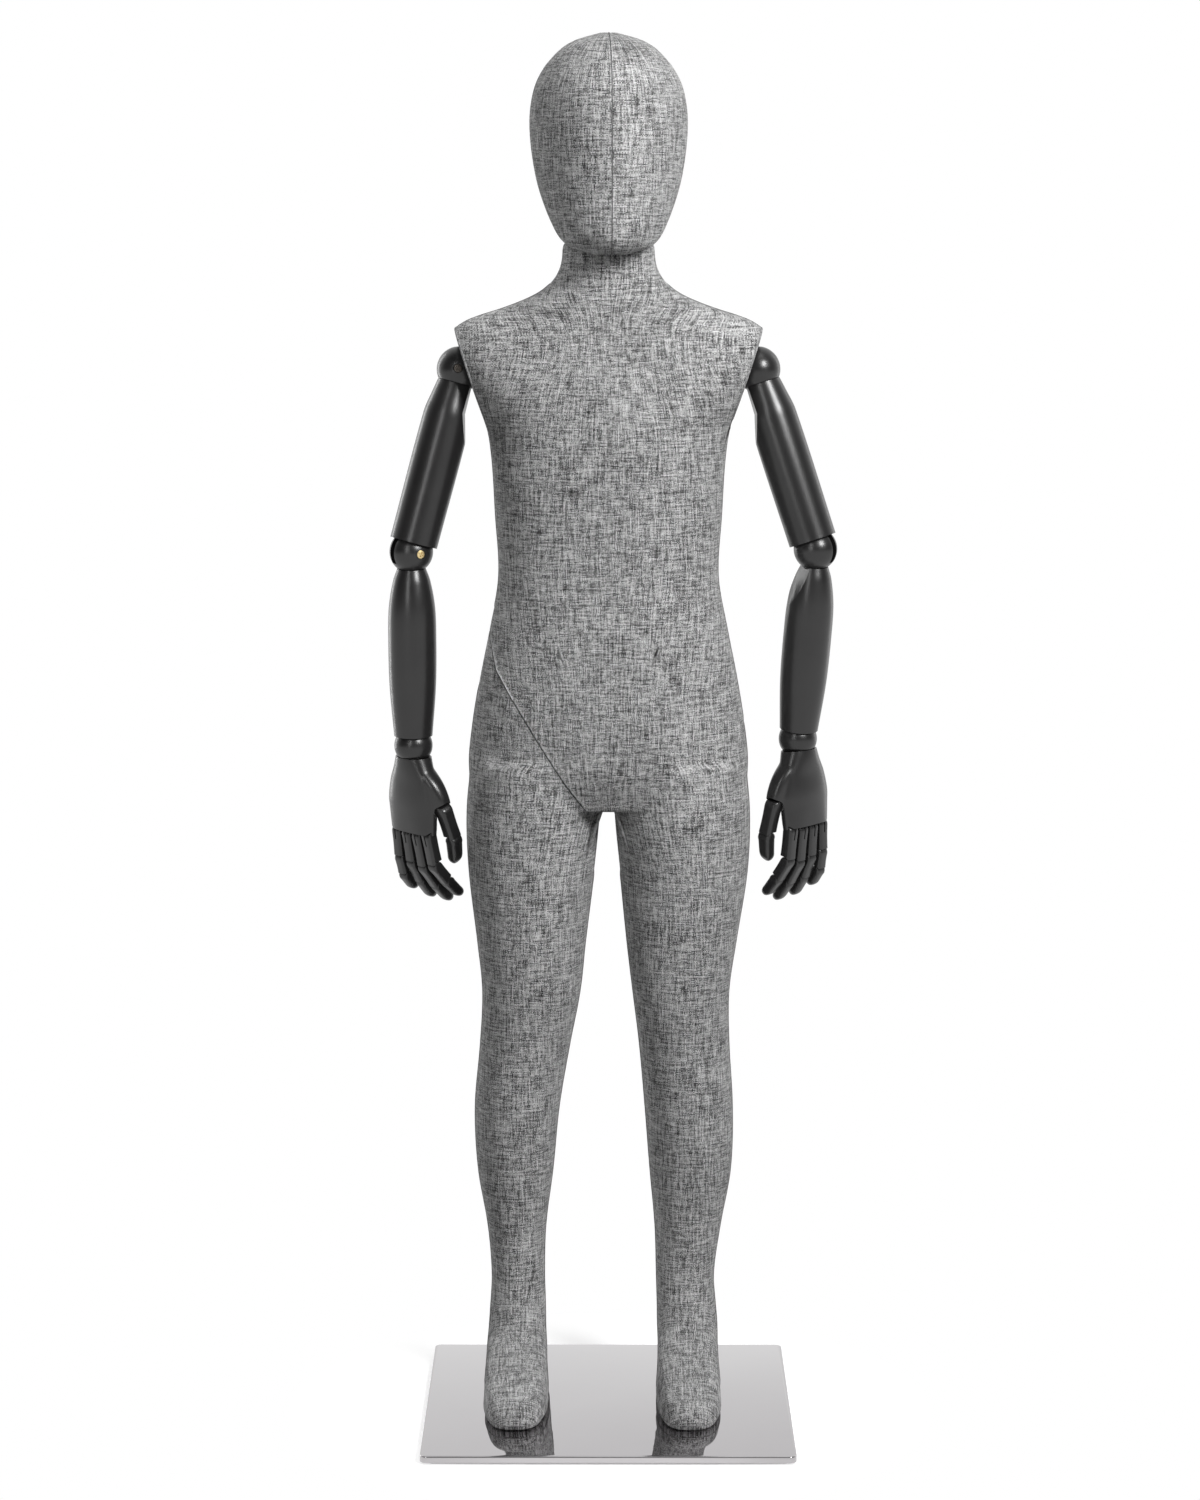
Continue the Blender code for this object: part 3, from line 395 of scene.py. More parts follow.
def linen(name, seed):
    """Grey melange linen, laid by the piece's own cloth map."""
    made, tree = empty_material(name)
    cloth = put(tree, "ShaderNodeUVMap", uv_map="cloth").outputs[0]
    place = object_place(tree)
    yarns = put(tree, "ShaderNodeGroup", node_tree=YARNS)
    tree.links.new(cloth, yarns.inputs["Cloth"])
    yarns.inputs["Seed"].default_value = seed
    patches = noise(tree, place, 22, 3, (1, 1, 1.4), seed)
    fuzz = noise(tree, place, 1100, 2, seed=seed)
    warp_bands = noise(tree, cloth, 1, 4, (640, 42, 1), seed, 0.62)
    weft_bands = noise(tree, cloth, 1, 4, (42, 640, 1), seed + 5, 0.62)
    mixed = yarns.outputs["Shade"]
    for value, share in ((warp_bands, 0.62), (weft_bands, 0.50), (fuzz, 0.45), (patches, 0.12)):
        mixed = maths(tree, "ADD", mixed, maths(tree, "MULTIPLY", maths(tree, "SUBTRACT", value, 0.5), share))
    base = ramp(tree, mixed, LINEN_SHADES)
    pale = {0: maths(tree, "MULTIPLY", yarns.outputs["Slub"], 0.5), 6: base, 7: SLUB_SHADE}
    shade = put(tree, "ShaderNodeMix", pale, data_type="RGBA").outputs[2]
    height = maths(tree, "ADD", yarns.outputs["Height"], maths(tree, "MULTIPLY", fuzz, 0.6))
    finish = {"Roughness": 0.9, "Sheen Weight": 0.15, "Sheen Roughness": 0.5, "Specular IOR Level": 0.25}
    surface(tree, {"Base Color": shade, **finish}, (height, YARN_RELIEF))
    return made


LINEN = linen("grey_linen", 1.0)
LINEN_LEG = linen("grey_linen_leg", 4.0)

# The body: one moulded shell for the torso and left leg, and the right leg as a shell of its
# own that meets it along a slanting cut. Both are covered in the linen, closed along seams.
BODY_Y = 0.035
CROTCH_Z = 0.503
NECK_RADIUS = 0.0372
NECK_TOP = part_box("torso")[1].z
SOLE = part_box("right_leg")[0].z
ARMHOLE_TOP, ARMHOLE_FOOT = (0.1240, 0.889), (0.1000, 0.8165)
CUT_LINE = [  # the slanting cut, in (x, z)
    (-0.1010, 0.700),
    (-0.0965, 0.6435),
    (-0.0905, 0.6170),
    (-0.0786, 0.5965),
    (-0.0592, 0.5655),
    (-0.0334, 0.5250),
    (-0.0180, 0.5035),
]
COVER_GAP = 0.0007
VOXEL = 0.0026
COLLAR_ROOM, PIN_ROOM = 0.0126, 0.0056  # radii of the bores for the spigot's collar and pin
PIVOT_ROOM, PIVOT_SOCKET = 0.0054, 0.0490  # radius and depth of a shoulder pivot's socket
PEG_ROOM, PEG_SOCKET = 0.0108, 0.0354  # radius and depth of the neck peg's socket
CUT_BACK, CUT_FRONT = 0.2, -0.15  # how far the cutters reach, along Y
GIRTH_HOLD = 0.60  # below this the torso's cloth keeps its width
LEG_CLOTH_START, LEG_CLOTH_RISE = 0.44, 0.12  # where the leg's cloth eases into the torso's
INSTEP_TOP, INSTEP_RISE, INSTEP_RUN = 0.090, 0.030, 0.9  # and where it turns along the foot
TORSO = [  # height, middle x and y, half width, half depth, squareness
    (CROTCH_Z - 0.001, 0, 0.041, 0.1070, 0.0540, 2.1),
    (0.530, 0, 0.0415, 0.1142, 0.0690, 2.15),
    (0.566, 0, 0.042, 0.1115, 0.0740, 2.2),
    (0.606, 0, 0.040, 0.1050, 0.0720, 2.2),
    (0.646, 0, 0.036, 0.0970, 0.067, 2.2),
    (0.690, 0, 0.033, 0.0893, 0.062, 2.2),
    (0.740, 0, 0.033, 0.0918, 0.065, 2.25),
    (0.790, 0, 0.035, 0.0950, 0.070, 2.3),
    (0.8165, 0, 0.036, 0.1004, 0.071, 2.3),
    (0.840, 0, 0.037, 0.1150, 0.070, 2.3),
    (0.862, 0, 0.038, 0.1280, 0.066, 2.2),
    (0.884, 0, 0.038, 0.1290, 0.060, 2.1),
    (0.897, 0, 0.038, 0.1140, 0.055, 2.0),
    (0.908, 0, 0.037, 0.0810, 0.050, 2.0),
    (0.919, 0, 0.036, 0.0560, 0.045, 2.0),
    (0.932, 0, 0.035, 0.0425, 0.040, 2.0),
    (0.945, 0, BODY_Y, NECK_RADIUS + 0.0005, NECK_RADIUS + 0.0005, 2.0),
    (NECK_TOP - 0.004, 0, BODY_Y, NECK_RADIUS, NECK_RADIUS, 2.0),
    (NECK_TOP, 0, BODY_Y, NECK_RADIUS - 0.0014, NECK_RADIUS - 0.0014, 2.0),
]
LEGS = [  # height, left and right middle x, middle y, left and right half width, half depth
    (0.0550, 0.0665, -0.0762, 0.040, 0.0250, 0.0238, 0.0400),
    (0.0750, 0.0656, -0.0757, 0.047, 0.0245, 0.0230, 0.0310),
    (0.1000, 0.0644, -0.0755, 0.050, 0.0240, 0.0220, 0.0275),
    (0.1411, 0.0666, -0.0766, 0.052, 0.0274, 0.0242, 0.0300),
    (0.1900, 0.0686, -0.0775, 0.050, 0.0337, 0.0312, 0.0370),
    (0.2439, 0.0671, -0.0760, 0.047, 0.0364, 0.0350, 0.0420),
    (0.3000, 0.0630, -0.0690, 0.040, 0.0372, 0.0372, 0.0410),
    (0.3456, 0.0600, -0.0636, 0.034, 0.0397, 0.0403, 0.0430),
    (0.3861, 0.0604, -0.0634, 0.034, 0.0449, 0.0444, 0.0480),
    (0.4465, 0.0620, -0.0632, 0.037, 0.0525, 0.0516, 0.0570),
    (0.4950, 0.0605, -0.0615, 0.040, 0.0556, 0.0548, 0.0650),
    (0.5400, 0.0580, -0.0580, 0.041, 0.0540, 0.0540, 0.0680),
]
LEFT_LEG = [(z, left, y, wide, deep, 2.0) for z, left, _, y, wide, _, deep in LEGS]
RIGHT_LEG = [(z, right, y, wide, deep, 2.0) for z, _, right, y, _, wide, deep in LEGS]
FOOT = [  # height over the sole, how far forward and back, half width, squareness
    (0.0000, -0.0865, 0.0810, 0.0249, 3.2),
    (0.0035, -0.0900, 0.0840, 0.0262, 3.2),
    (0.0100, -0.0905, 0.0842, 0.0264, 3.1),
    (0.0160, -0.0895, 0.0840, 0.0262, 3.0),
    (0.0215, -0.0840, 0.0838, 0.0258, 2.8),
    (0.0265, -0.0720, 0.0836, 0.0252, 2.6),
    (0.0325, -0.0500, 0.0834, 0.0249, 2.4),
    (0.0390, -0.0260, 0.0828, 0.0248, 2.2),
]


def along(stations, z):
    """The values at height z of a smooth curve through stations, whose first value is z."""
    z = min(max(z, stations[0][0]), stations[-1][0])
    i = min(max(k for k, s in enumerate(stations) if s[0] <= z), len(stations) - 2)
    low, high = stations[i], stations[i + 1]
    before, after = stations[max(i - 1, 0)], stations[min(i + 2, len(stations) - 1)]
    span = high[0] - low[0]
    t = (z - low[0]) / span
    values = []
    for a, b, c, d in zip(before[1:], low[1:], high[1:], after[1:]):
        slope_low = (c - a) / (high[0] - before[0]) * span
        slope_high = (d - b) / (after[0] - low[0]) * span
        values.append(
            (2 * t**3 - 3 * t**2 + 1) * b
            + (t**3 - 2 * t**2 + t) * slope_low
            + (3 * t**2 - 2 * t**3) * c
            + (t**3 - t**2) * slope_high
        )
    return values


def ring(x, y, z, half_x, half_y, square, count):
    """A rounded section. square 2 is an ellipse, and more is boxier."""
    points = []
    for i in range(count):
        turn = 2 * math.pi * i / count
        c, s = math.cos(turn), math.sin(turn)
        across = math.copysign(abs(c) ** (2 / square), c)
        back = math.copysign(abs(s) ** (2 / square), s)
        points.append((x + half_x * across, y + half_y * back, z))
    return points


def skin(rings, shape=None):
    """A closed skin over rings of equal count."""
    shape = shape or bmesh.new()
    levels = [[shape.verts.new(p) for p in points] for points in rings]
    count = len(levels[0])
    for lower, upper in zip(levels, levels[1:]):
        for i in range(count):
            j = (i + 1) % count
            shape.faces.new((lower[i], lower[j], upper[j], upper[i]))
    shape.faces.new(levels[0][::-1])
    shape.faces.new(levels[-1])
    return shape


def lofted(stations, steps, count, shape=None):
    bottom, top = stations[0][0], stations[-1][0]
    heights = [bottom + (top - bottom) * k / steps for k in range(steps + 1)]
    return skin([ring(*along(stations, z)[:2], z, *along(stations, z)[2:], count) for z in heights], shape)


def leg_stations(leg):
    """The leg's stations, with its foot's in front of them."""
    x = leg[0][1]
    feet = []
    for up, front, back, wide, square in FOOT:
        feet.append((SOLE + up, x, (front + back) / 2, wide, (back - front) / 2, square))
    return feet + leg


def cutter_along_y(outline, low, high):
    """An outline of (x, z) points drawn along Y, as an object for a Boolean."""
    made = prism(outline, low, high)
    swap = Matrix(((1, 0, 0, 0), (0, 0, 1, 0), (0, 1, 0, 0), (0, 0, 0, 1)))
    bmesh.ops.transform(made, matrix=swap, verts=made.verts)
    bmesh.ops.recalc_face_normals(made, faces=made.faces)
    return loose("cutter", made)


def carved(made, steps):
    """A mesh after Booleans, each ("DIFFERENCE", "INTERSECT" or "UNION", object)."""
    others = []
    for k, (operation, other) in enumerate(steps):
        change = made.modifiers.new(f"carve_{k}", "BOOLEAN")
        change.operation, change.object, change.solver = operation, other, "MANIFOLD"
        others.append(other)
    mesh = final_mesh(made)
    for other in others:
        bpy.data.objects.remove(other)
    return mesh


def whole_form():
    """Torso and legs as one skin with its joins smoothed over."""
    shape = lofted(TORSO, 110, 96)
    lofted(leg_stations(LEFT_LEG), 150, 64, shape)
    lofted(leg_stations(RIGHT_LEG), 150, 64, shape)
    form = loose("form", shape)
    melt = form.modifiers.new("one_skin", "REMESH")
    melt.mode, melt.voxel_size = "VOXEL", VOXEL
    ease = form.modifiers.new("ease", "SMOOTH")
    ease.factor, ease.iterations = 0.5, 8
    return final_mesh(form)


def table_of(stations):
    """80 rows of a height and the smooth curve's values there."""
    return np.array([(z, *along(stations, z)) for z in np.linspace(stations[0][0], stations[-1][0], 80)])


def cloth_map(mesh):
    """Lays the cloth: round the torso or a leg across, and height up. One map eases into the other."""
    places = np.empty(len(mesh.vertices) * 3, np.float32)
    mesh.vertices.foreach_get("co", places)
    places = places.reshape(-1, 3)
    height = places[:, 2]
    corner = np.empty(len(mesh.loops), np.int32)
    mesh.loops.foreach_get("vertex_index", corner)
    first, count = (np.empty(len(mesh.polygons), np.int32) for _ in range(2))
    mesh.polygons.foreach_get("loop_start", first)
    mesh.polygons.foreach_get("loop_total", count)

    def across_cloth(x, y, girth):
        turns = np.arctan2(places[:, 0] - x, -(places[:, 1] - y))[corner]
        start = np.repeat(turns[first], count)
        return (turns - 2 * np.pi * np.round((turns - start) / (2 * np.pi))) * girth[corner]

    instep = np.clip((INSTEP_TOP - height) / INSTEP_RISE, 0, 1)
    torso = table_of(TORSO)
    girth = np.interp(np.maximum(height, GIRTH_HOLD), torso[:, 0], (torso[:, 3] + torso[:, 4]) / 2)
    on_torso = across_cloth(0.0, 0.038, girth)
    on_leg = np.zeros(len(corner))
    for leg, side in ((leg_stations(LEFT_LEG), 1), (leg_stations(RIGHT_LEG), -1)):
        table = table_of(leg)
        x = np.interp(height, table[:, 0], table[:, 1])
        y = np.maximum(np.interp(height, table[:, 0], table[:, 2]), 0.03)
        girth = np.interp(height, table[:, 0], (table[:, 3] + table[:, 4]) / 2)
        girth = girth * (1 - instep) + np.hypot(places[:, 0] - x, places[:, 1] - y) * instep
        here = np.repeat(places[corner[first], 0] * side >= 0, count)
        on_leg[here] = (across_cloth(x, y, girth) + x[corner])[here]
    up = height + INSTEP_RUN * instep * np.minimum(places[:, 1] - 0.03, 0)
    share = np.clip((height[corner] - LEG_CLOTH_START) / LEG_CLOTH_RISE, 0, 1)
    share = share * share * (3 - 2 * share)
    flat = np.stack([on_torso * share + on_leg * (1 - share), up[corner]], 1)
    layer = mesh.uv_layers.new(name="cloth")
    layer.data.foreach_set("uv", np.ascontiguousarray(flat, np.float32).ravel())


def cut_outline(gap):
    """All that comes off with the right leg, set back by a gap, in (x, z)."""
    line = [(x - gap, z - 0.6 * gap) for x, z in CUT_LINE]
    return [*line, (-0.001 - gap, CROTCH_Z - 0.003), (-0.001 - gap, -0.01), (-0.3, -0.01), (-0.3, line[0][1])]


def armhole_line():
    """The foot and top of the left armhole's plane in (x, z), and the way up it."""
    low, high = Vector(ARMHOLE_FOOT), Vector(ARMHOLE_TOP)
    return low, high, (high - low).normalized()


def armhole_outline(side):
    """Everything outside an armhole's plane, in (x, z)."""
    low, high, up = armhole_line()
    a, b = low - up * 0.001, high + up * 0.08
    outline = [(a.x, a.y), (b.x, b.y), (b.x + 0.12, b.y), (a.x + 0.12, a.y)]
    return [(side * x, z) for x, z in (outline if side > 0 else outline[::-1])]


def bored(place, radius, low, high, sides=32):
    """A round cutter along a frame's Z."""
    shape, size = bmesh.new(), {"radius1": radius, "radius2": radius, "depth": high - low}
    middle = place @ Matrix.Translation((0, 0, (low + high) / 2))
    bmesh.ops.create_cone(shape, cap_ends=True, segments=sides, matrix=middle, **size)
    return loose("bore", shape)


def joint_place(name):
    return Vector(joints[name]["pos_m"])


def joint_axis(name, sign=1):
    return (Vector(joints[name]["axis"]) * sign).normalized()


def framed(origin, y_axis, z_axis):
    """A matrix from a point and its Y and Z ways."""
    z = z_axis.normalized()
    x = y_axis.cross(z).normalized()
    y = z.cross(x)
    return Matrix.Translation(origin) @ Matrix((x, y, z)).transposed().to_4x4()


def ball_cutter(centre, radius):
    shape, middle = bmesh.new(), Matrix.Translation(centre)
    bmesh.ops.create_uvsphere(shape, u_segments=40, v_segments=24, radius=radius, matrix=middle)
    return loose("ball_room", shape)


def as_object(mesh):
    made = bpy.data.objects.new("working", mesh.copy())
    bpy.context.scene.collection.objects.link(made)
    return made


SIDES = {"right": -1, "left": 1}
SHOULDER_BALL = 0.0185
form = whole_form()
form_skin = BVHTree.FromPolygons([v.co for v in form.vertices], [p.vertices for p in form.polygons])
body_cuts = [cutter_along_y(cut_outline(0), CUT_FRONT, CUT_BACK)]
for side_name, side in SIDES.items():
    body_cuts.append(cutter_along_y(armhole_outline(side), CUT_FRONT, CUT_BACK))
    body_cuts.append(ball_cutter(joint_place(f"{side_name}_arm_swing"), SHOULDER_BALL + 0.0012))
spigot_low, spigot_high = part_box("foot_spigot")
foot_middle = (spigot_low + spigot_high) / 2
foot_centre = Matrix.Translation((foot_middle.x, foot_middle.y, 0))
body_cuts.append(bored(foot_centre, COLLAR_ROOM, 0, spigot_low.z + 0.003))
body_cuts.append(bored(foot_centre, PIN_ROOM, 0, spigot_high.z + 0.001))
for side_name, side in SIDES.items():
    pivot_place = framed(
        joint_place(f"{side_name}_arm_swing"),
        joint_axis(f"{side_name}_arm_swing", -side),
        joint_axis(f"{side_name}_shoulder_turn", -side),
    )
    body_cuts.append(bored(pivot_place, PIVOT_ROOM, -PIVOT_SOCKET, 0))
peg_centre = Matrix.Translation((0, BODY_Y, NECK_TOP))
body_cuts.append(bored(peg_centre, PEG_ROOM, -PEG_SOCKET, 0.01))
body_cover = carved(as_object(form), [("DIFFERENCE", cutter) for cutter in body_cuts])
cloth_map(body_cover)
piece_from_mesh("body_cover", body_cover, LINEN, "mannequin", ["torso"], 50)
leg_side = cutter_along_y(cut_outline(COVER_GAP), CUT_FRONT, CUT_BACK)
leg_cover = carved(as_object(form), [("INTERSECT", leg_side)])
cloth_map(leg_cover)
piece_from_mesh("right_leg_cover", leg_cover, LINEN_LEG, "right_leg", ["right_leg"], 50)

# The cover's edges and seams: a folded edge round each armhole and sole, closed seams down the
# sides, the legs and the back, and a drawn thread along the leg's cut.
EDGE_TURNS = 72
EDGE_RADIUS, SOLE_RADIUS, SEAM_RADIUS, INNER_SEAM_RADIUS = 0.0013, 0.0007, 0.0005, 0.0006
SOLE_EDGE, SEAM_FOOT = 0.0052, 0.018
BEAD_SIDEWAYS = Vector((0.31, 0.17, 0.93))  # no seam runs this way


def tube(points, radius, sides=6, closed=False, shape=None):
    """A round bead along points, as a closed bmesh."""
    shape = shape or bmesh.new()
    points = [Vector(p) for p in points]
    count, rings = len(points), []
    for k, point in enumerate(points):
        before = points[(k - 1) % count] if closed or k else point
        after = points[(k + 1) % count] if closed or k < count - 1 else point
        on = (after - before).normalized()
        side_way = on.cross(BEAD_SIDEWAYS).normalized()
        up_way = side_way.cross(on)
        thin = 0.35 if not closed and k in (0, count - 1) else 1.0
        turns = [2 * math.pi * i / sides for i in range(sides)]
        rounds = [math.cos(t) * side_way + math.sin(t) * up_way for t in turns]
        rings.append([shape.verts.new(point + thin * radius * out) for out in rounds])
    pairs = list(zip(rings, rings[1:])) + ([(rings[-1], rings[0])] if closed else [])
    for lower, upper in pairs:
        for i in range(sides):
            j = (i + 1) % sides
            shape.faces.new((lower[i], lower[j], upper[j], upper[i]))
    if not closed:
        shape.faces.new(rings[0][::-1])
        shape.faces.new(rings[-1])
    bmesh.ops.recalc_face_normals(shape, faces=shape.faces)
    return shape


def thread_finish(name, low, high):
    made, tree = empty_material(name)
    place = object_place(tree)
    twist = noise(tree, place, 1400, 2, (1, 1, 0.5))
    mottle = noise(tree, place, 260, 3)
    both = maths(tree, "ADD", maths(tree, "MULTIPLY", twist, 0.5), maths(tree, "MULTIPLY", mottle, 0.5))
    shade = ramp(tree, both, [(0.35, low), (0.65, high)])
    surface(tree, {"Base Color": shade, "Roughness": 0.9}, (twist, 0.0002))
    return made


LINEN_EDGE = thread_finish("linen_edge", 0.08, 0.42)
# The seams' thread, darkened well below the linen with painted shade that stands in for the shadow in each
# seam's groove
SEAM_THREAD_PAINTED_SHADE = thread_finish("seam_thread_painted_shade", 0.03, 0.22)
WHITE_THREAD = thread_finish("white_thread", 0.45, 0.8)


def struck(start, way, lift=0.0):
    """Where a ray meets the bare form, moved out by lift, or None."""
    hit, normal, _, _ = form_skin.ray_cast(Vector(start), Vector(way))
    return None if hit is None else hit + normal * lift


def met(points):
    """The points that are there, without the rays that met nothing."""
    return [point for point in points if point is not None]


def row(start, end, steps):
    return [start + (end - start) * k / steps for k in range(steps + 1)]


def leg_axis(side, z):
    x, y = along(leg_stations(LEFT_LEG if side > 0 else RIGHT_LEG), z)[:2]
    return x, max(y, 0.02) if z > 0.06 else y


def leg_seam(side, high, outer):
    """Points down a leg from a height, on its outer or inner face."""
    points = []
    for z in row(high, SEAM_FOOT, 110):
        x, y = leg_axis(side, z)
        start = x + side * 0.2 if outer else x
        points.append(struck((start, y, z), (-side, 0, 0)))
    return met(points)


def torso_side(side, high, low):
    ways = ((along(TORSO, z)[1], z) for z in row(high, low, 60))
    return met([struck((side * 0.3, y, z), (-side, 0, 0)) for y, z in ways])


def sole_ring(side):
    """A level loop of points round a foot, just over its sole."""
    start, turns = (leg_axis(side, SOLE)[0], 0.0, SOLE + SOLE_EDGE), range(EDGE_TURNS)
    angles = [2 * math.pi * k / EDGE_TURNS for k in turns]
    return met([struck(start, (math.cos(t), math.sin(t), 0)) for t in angles])


def armhole_edge(side):
    """The loop where the armhole's plane cuts the form."""
    low, high, up = armhole_line()
    middle = (low + high) / 2
    centre = Vector((side * middle.x, BODY_Y, middle.y))
    inward = Vector((-side * up.y, 0, up.x)) * 0.0012
    points = []
    for k in range(EDGE_TURNS):
        turn = 2 * math.pi * k / EDGE_TURNS
        way = Vector((side * up.x * math.sin(turn), math.cos(turn), up.y * math.sin(turn)))
        hit, _, _, _ = form_skin.ray_cast(centre + inward, way)
        if hit is not None:
            points.append(hit - way * 0.0006)
    return points


edges, leg_edges = bmesh.new(), bmesh.new()
for side in SIDES.values():
    tube(armhole_edge(side), EDGE_RADIUS, 10, True, edges)
tube(sole_ring(1), SOLE_RADIUS, 6, True, edges)
tube(sole_ring(-1), SOLE_RADIUS, 6, True, leg_edges)
piece_from("cover_edges", edges, LINEN_EDGE, "mannequin")
piece_from("right_sole_edge", leg_edges, LINEN_EDGE, "right_leg")

seams, leg_seams = bmesh.new(), bmesh.new()
for side in SIDES.values():
    tube(torso_side(side, 0.812, 0.57 if side > 0 else 0.665), SEAM_RADIUS, shape=seams)
    crest = [struck((side * x, BODY_Y, 1.0), (0, 0, -1)) for x in row(0.047, 0.1245, 40)]
    tube(met(crest), SEAM_RADIUS, shape=seams)
back = [struck((0, 0.3, z), (0, -1, 0)) for z in row(0.952, 0.512, 120)]
tube(met(back), SEAM_RADIUS, shape=seams)
for side, top, shape in ((1, 0.57, seams), (-1, 0.60, leg_seams)):
    tube(leg_seam(side, top, True), SEAM_RADIUS, shape=shape)
    tube(leg_seam(side, 0.446, False), INNER_SEAM_RADIUS, shape=shape)
# The torso and leg seams wear the thread darkened with painted groove shade
piece_from("cover_seams", seams, SEAM_THREAD_PAINTED_SHADE, "mannequin")
piece_from("right_leg_seams", leg_seams, SEAM_THREAD_PAINTED_SHADE, "right_leg")

# The stitches along the leg's cut: white waxed thread, sewn small and even beside the cut, front
# and back, with a drawn run of the same thread at the hip. Geometry Nodes lay them on a path.
STITCH_SPACING = 0.0042
STITCH_LENGTH = 0.0026
THREAD_RADIUS = 0.00032
THREAD_LIFT = 0.0001
STITCH_OFFSET, RUN_OFFSET = 0.0016, 0.0004  # how far inside the cut each is sewn
RUN_RADIUS, RUN_FOOT = 0.00042, 0.592


def stitch_group():
    tree = bpy.data.node_groups.new("stitches_on_path", "GeometryNodeTree")
    tree.interface.new_socket("Geometry", in_out="INPUT", socket_type="NodeSocketGeometry")
    for name in ("Spacing", "Stitch Length", "Thread Radius"):
        tree.interface.new_socket(name, in_out="INPUT", socket_type="NodeSocketFloat")
    tree.interface.new_socket("Thread", in_out="INPUT", socket_type="NodeSocketMaterial")
    tree.interface.new_socket("Geometry", in_out="OUTPUT", socket_type="NodeSocketGeometry")
    given = put(tree, "NodeGroupInput").outputs
    line = put(tree, "GeometryNodeMeshToCurve", {"Mesh": given["Geometry"]}).outputs[0]
    values = {"Curve": line, "Length": given["Spacing"]}
    spots = put(tree, "GeometryNodeCurveToPoints", values, mode="LENGTH").outputs
    bead = put(tree, "GeometryNodeMeshUVSphere", {"Segments": 6, "Rings": 5, "Radius": 1.0}).outputs["Mesh"]
    long_way = maths(tree, "DIVIDE", given["Stitch Length"], 2.0)
    thick = given["Thread Radius"]
    size = put(tree, "ShaderNodeCombineXYZ", {0: thick, 1: thick, 2: long_way}).outputs[0]
    values = {"Points": spots["Points"], "Instance": bead, "Rotation": spots["Rotation"], "Scale": size}
    laid = put(tree, "GeometryNodeInstanceOnPoints", values).outputs[0]
    real = put(tree, "GeometryNodeRealizeInstances", {0: laid}).outputs[0]
    done = put(tree, "GeometryNodeSetMaterial", {"Geometry": real, "Material": given["Thread"]}).outputs[0]
    put(tree, "NodeGroupOutput", {"Geometry": done})
    return tree


STITCHES = stitch_group()


def stitched(name, paths, finish, body):
    """Stitches along paths as one plain mesh piece."""
    shape = bmesh.new()
    for points in paths:
        spots = [shape.verts.new(p) for p in points]
        for a, b in zip(spots, spots[1:]):
            shape.edges.new((a, b))
    made = loose(name + "_path", shape)
    sew = made.modifiers.new("sew", "NODES")
    sew.node_group = STITCHES
    sizes = {"Spacing": STITCH_SPACING, "Stitch Length": STITCH_LENGTH, "Thread Radius": THREAD_RADIUS}
    for item in STITCHES.interface.items_tree:
        if item.in_out == "INPUT" and item.name != "Geometry":
            sew[item.identifier] = sizes.get(item.name, finish)
    return piece_from_mesh(name, final_mesh(made), finish, body)


def cut_path(way, offset):
    """Points beside the leg's cut on the front (way 1) or back (way -1) of the body."""
    across, down = [x for x, _ in CUT_LINE], [-z for _, z in CUT_LINE]
    points = []
    for z in row(0.665, 0.5045, 90):
        x = float(np.interp(-z, down, across)) + offset
        points.append(struck((x, -0.3 * way, z), (0, way, 0), THREAD_LIFT))
    return met(points)


both_faces = [cut_path(way, STITCH_OFFSET) for way in (1, -1)]
stitched("cut_stitches", both_faces, WHITE_THREAD, "mannequin")
white_run = [p for p in cut_path(1, RUN_OFFSET) if p.z > RUN_FOOT]
piece_from("cut_thread", tube(white_run, RUN_RADIUS), WHITE_THREAD, "mannequin")

# The head: an egg-shaped shell, covered in two linen panels that meet in a seam over the crown
# and down the face. It drops over the top of the neck and turns on a beech dowel.
HEAD = [  # height, middle x and y, half width, half depth
    (0.9510, 0, -0.014, 0.0120, 0.0120),
    (0.9560, 0, -0.003, 0.0290, 0.0320),
    (0.9660, 0, 0.009, 0.0408, 0.0488),
    (0.9850, 0, 0.020, 0.0505, 0.0605),
    (1.0135, 0, 0.028, 0.0590, 0.0700),
    (1.0520, 0, 0.033, 0.0634, 0.0760),
    (1.0800, 0, 0.035, 0.0600, 0.0730),
    (1.0990, 0, 0.036, 0.0507, 0.0620),
    (1.1110, 0, 0.036, 0.0385, 0.0480),
    (1.1190, 0, 0.036, 0.0250, 0.0320),
    (1.1250, 0, 0.036, 0.0060, 0.0080),
]
HEAD_CENTRE = Vector((0, 0.033, 1.045))
HEAD_YAW = math.radians(2.0)
HEAD_KEEL, KEEL_HALF = 0.0090, 0.046  # the panels meet in a low ridge, this high and wide
HEAD_STEPS, HEAD_SIDES = 110, 144
SEAM_SINK, HEAD_SEAM_RADIUS = 0.0002, 0.00055


def head_shape():
    rings, foot, top = [], HEAD[0][0], HEAD[-1][0]
    for k in range(HEAD_STEPS + 1):
        z = (foot + top) / 2 - math.cos(math.pi * k / HEAD_STEPS) * (top - foot) / 2
        x, y, half_x, half_y = along(HEAD, z)
        points = []
        for px, py, pz in ring(x, y, z, half_x, half_y, 2.0, HEAD_SIDES):
            keel = max(0.0, 1 - abs(px) / KEEL_HALF) * HEAD_KEEL * min(1.0, half_x / KEEL_HALF)
            out = Vector((px - x, py - y, 0))
            out = out.normalized() if out.length > 1e-9 else out
            points.append(tuple(Vector((px, py, pz)) + out * keel))
        rings.append(points)
    return skin(rings)


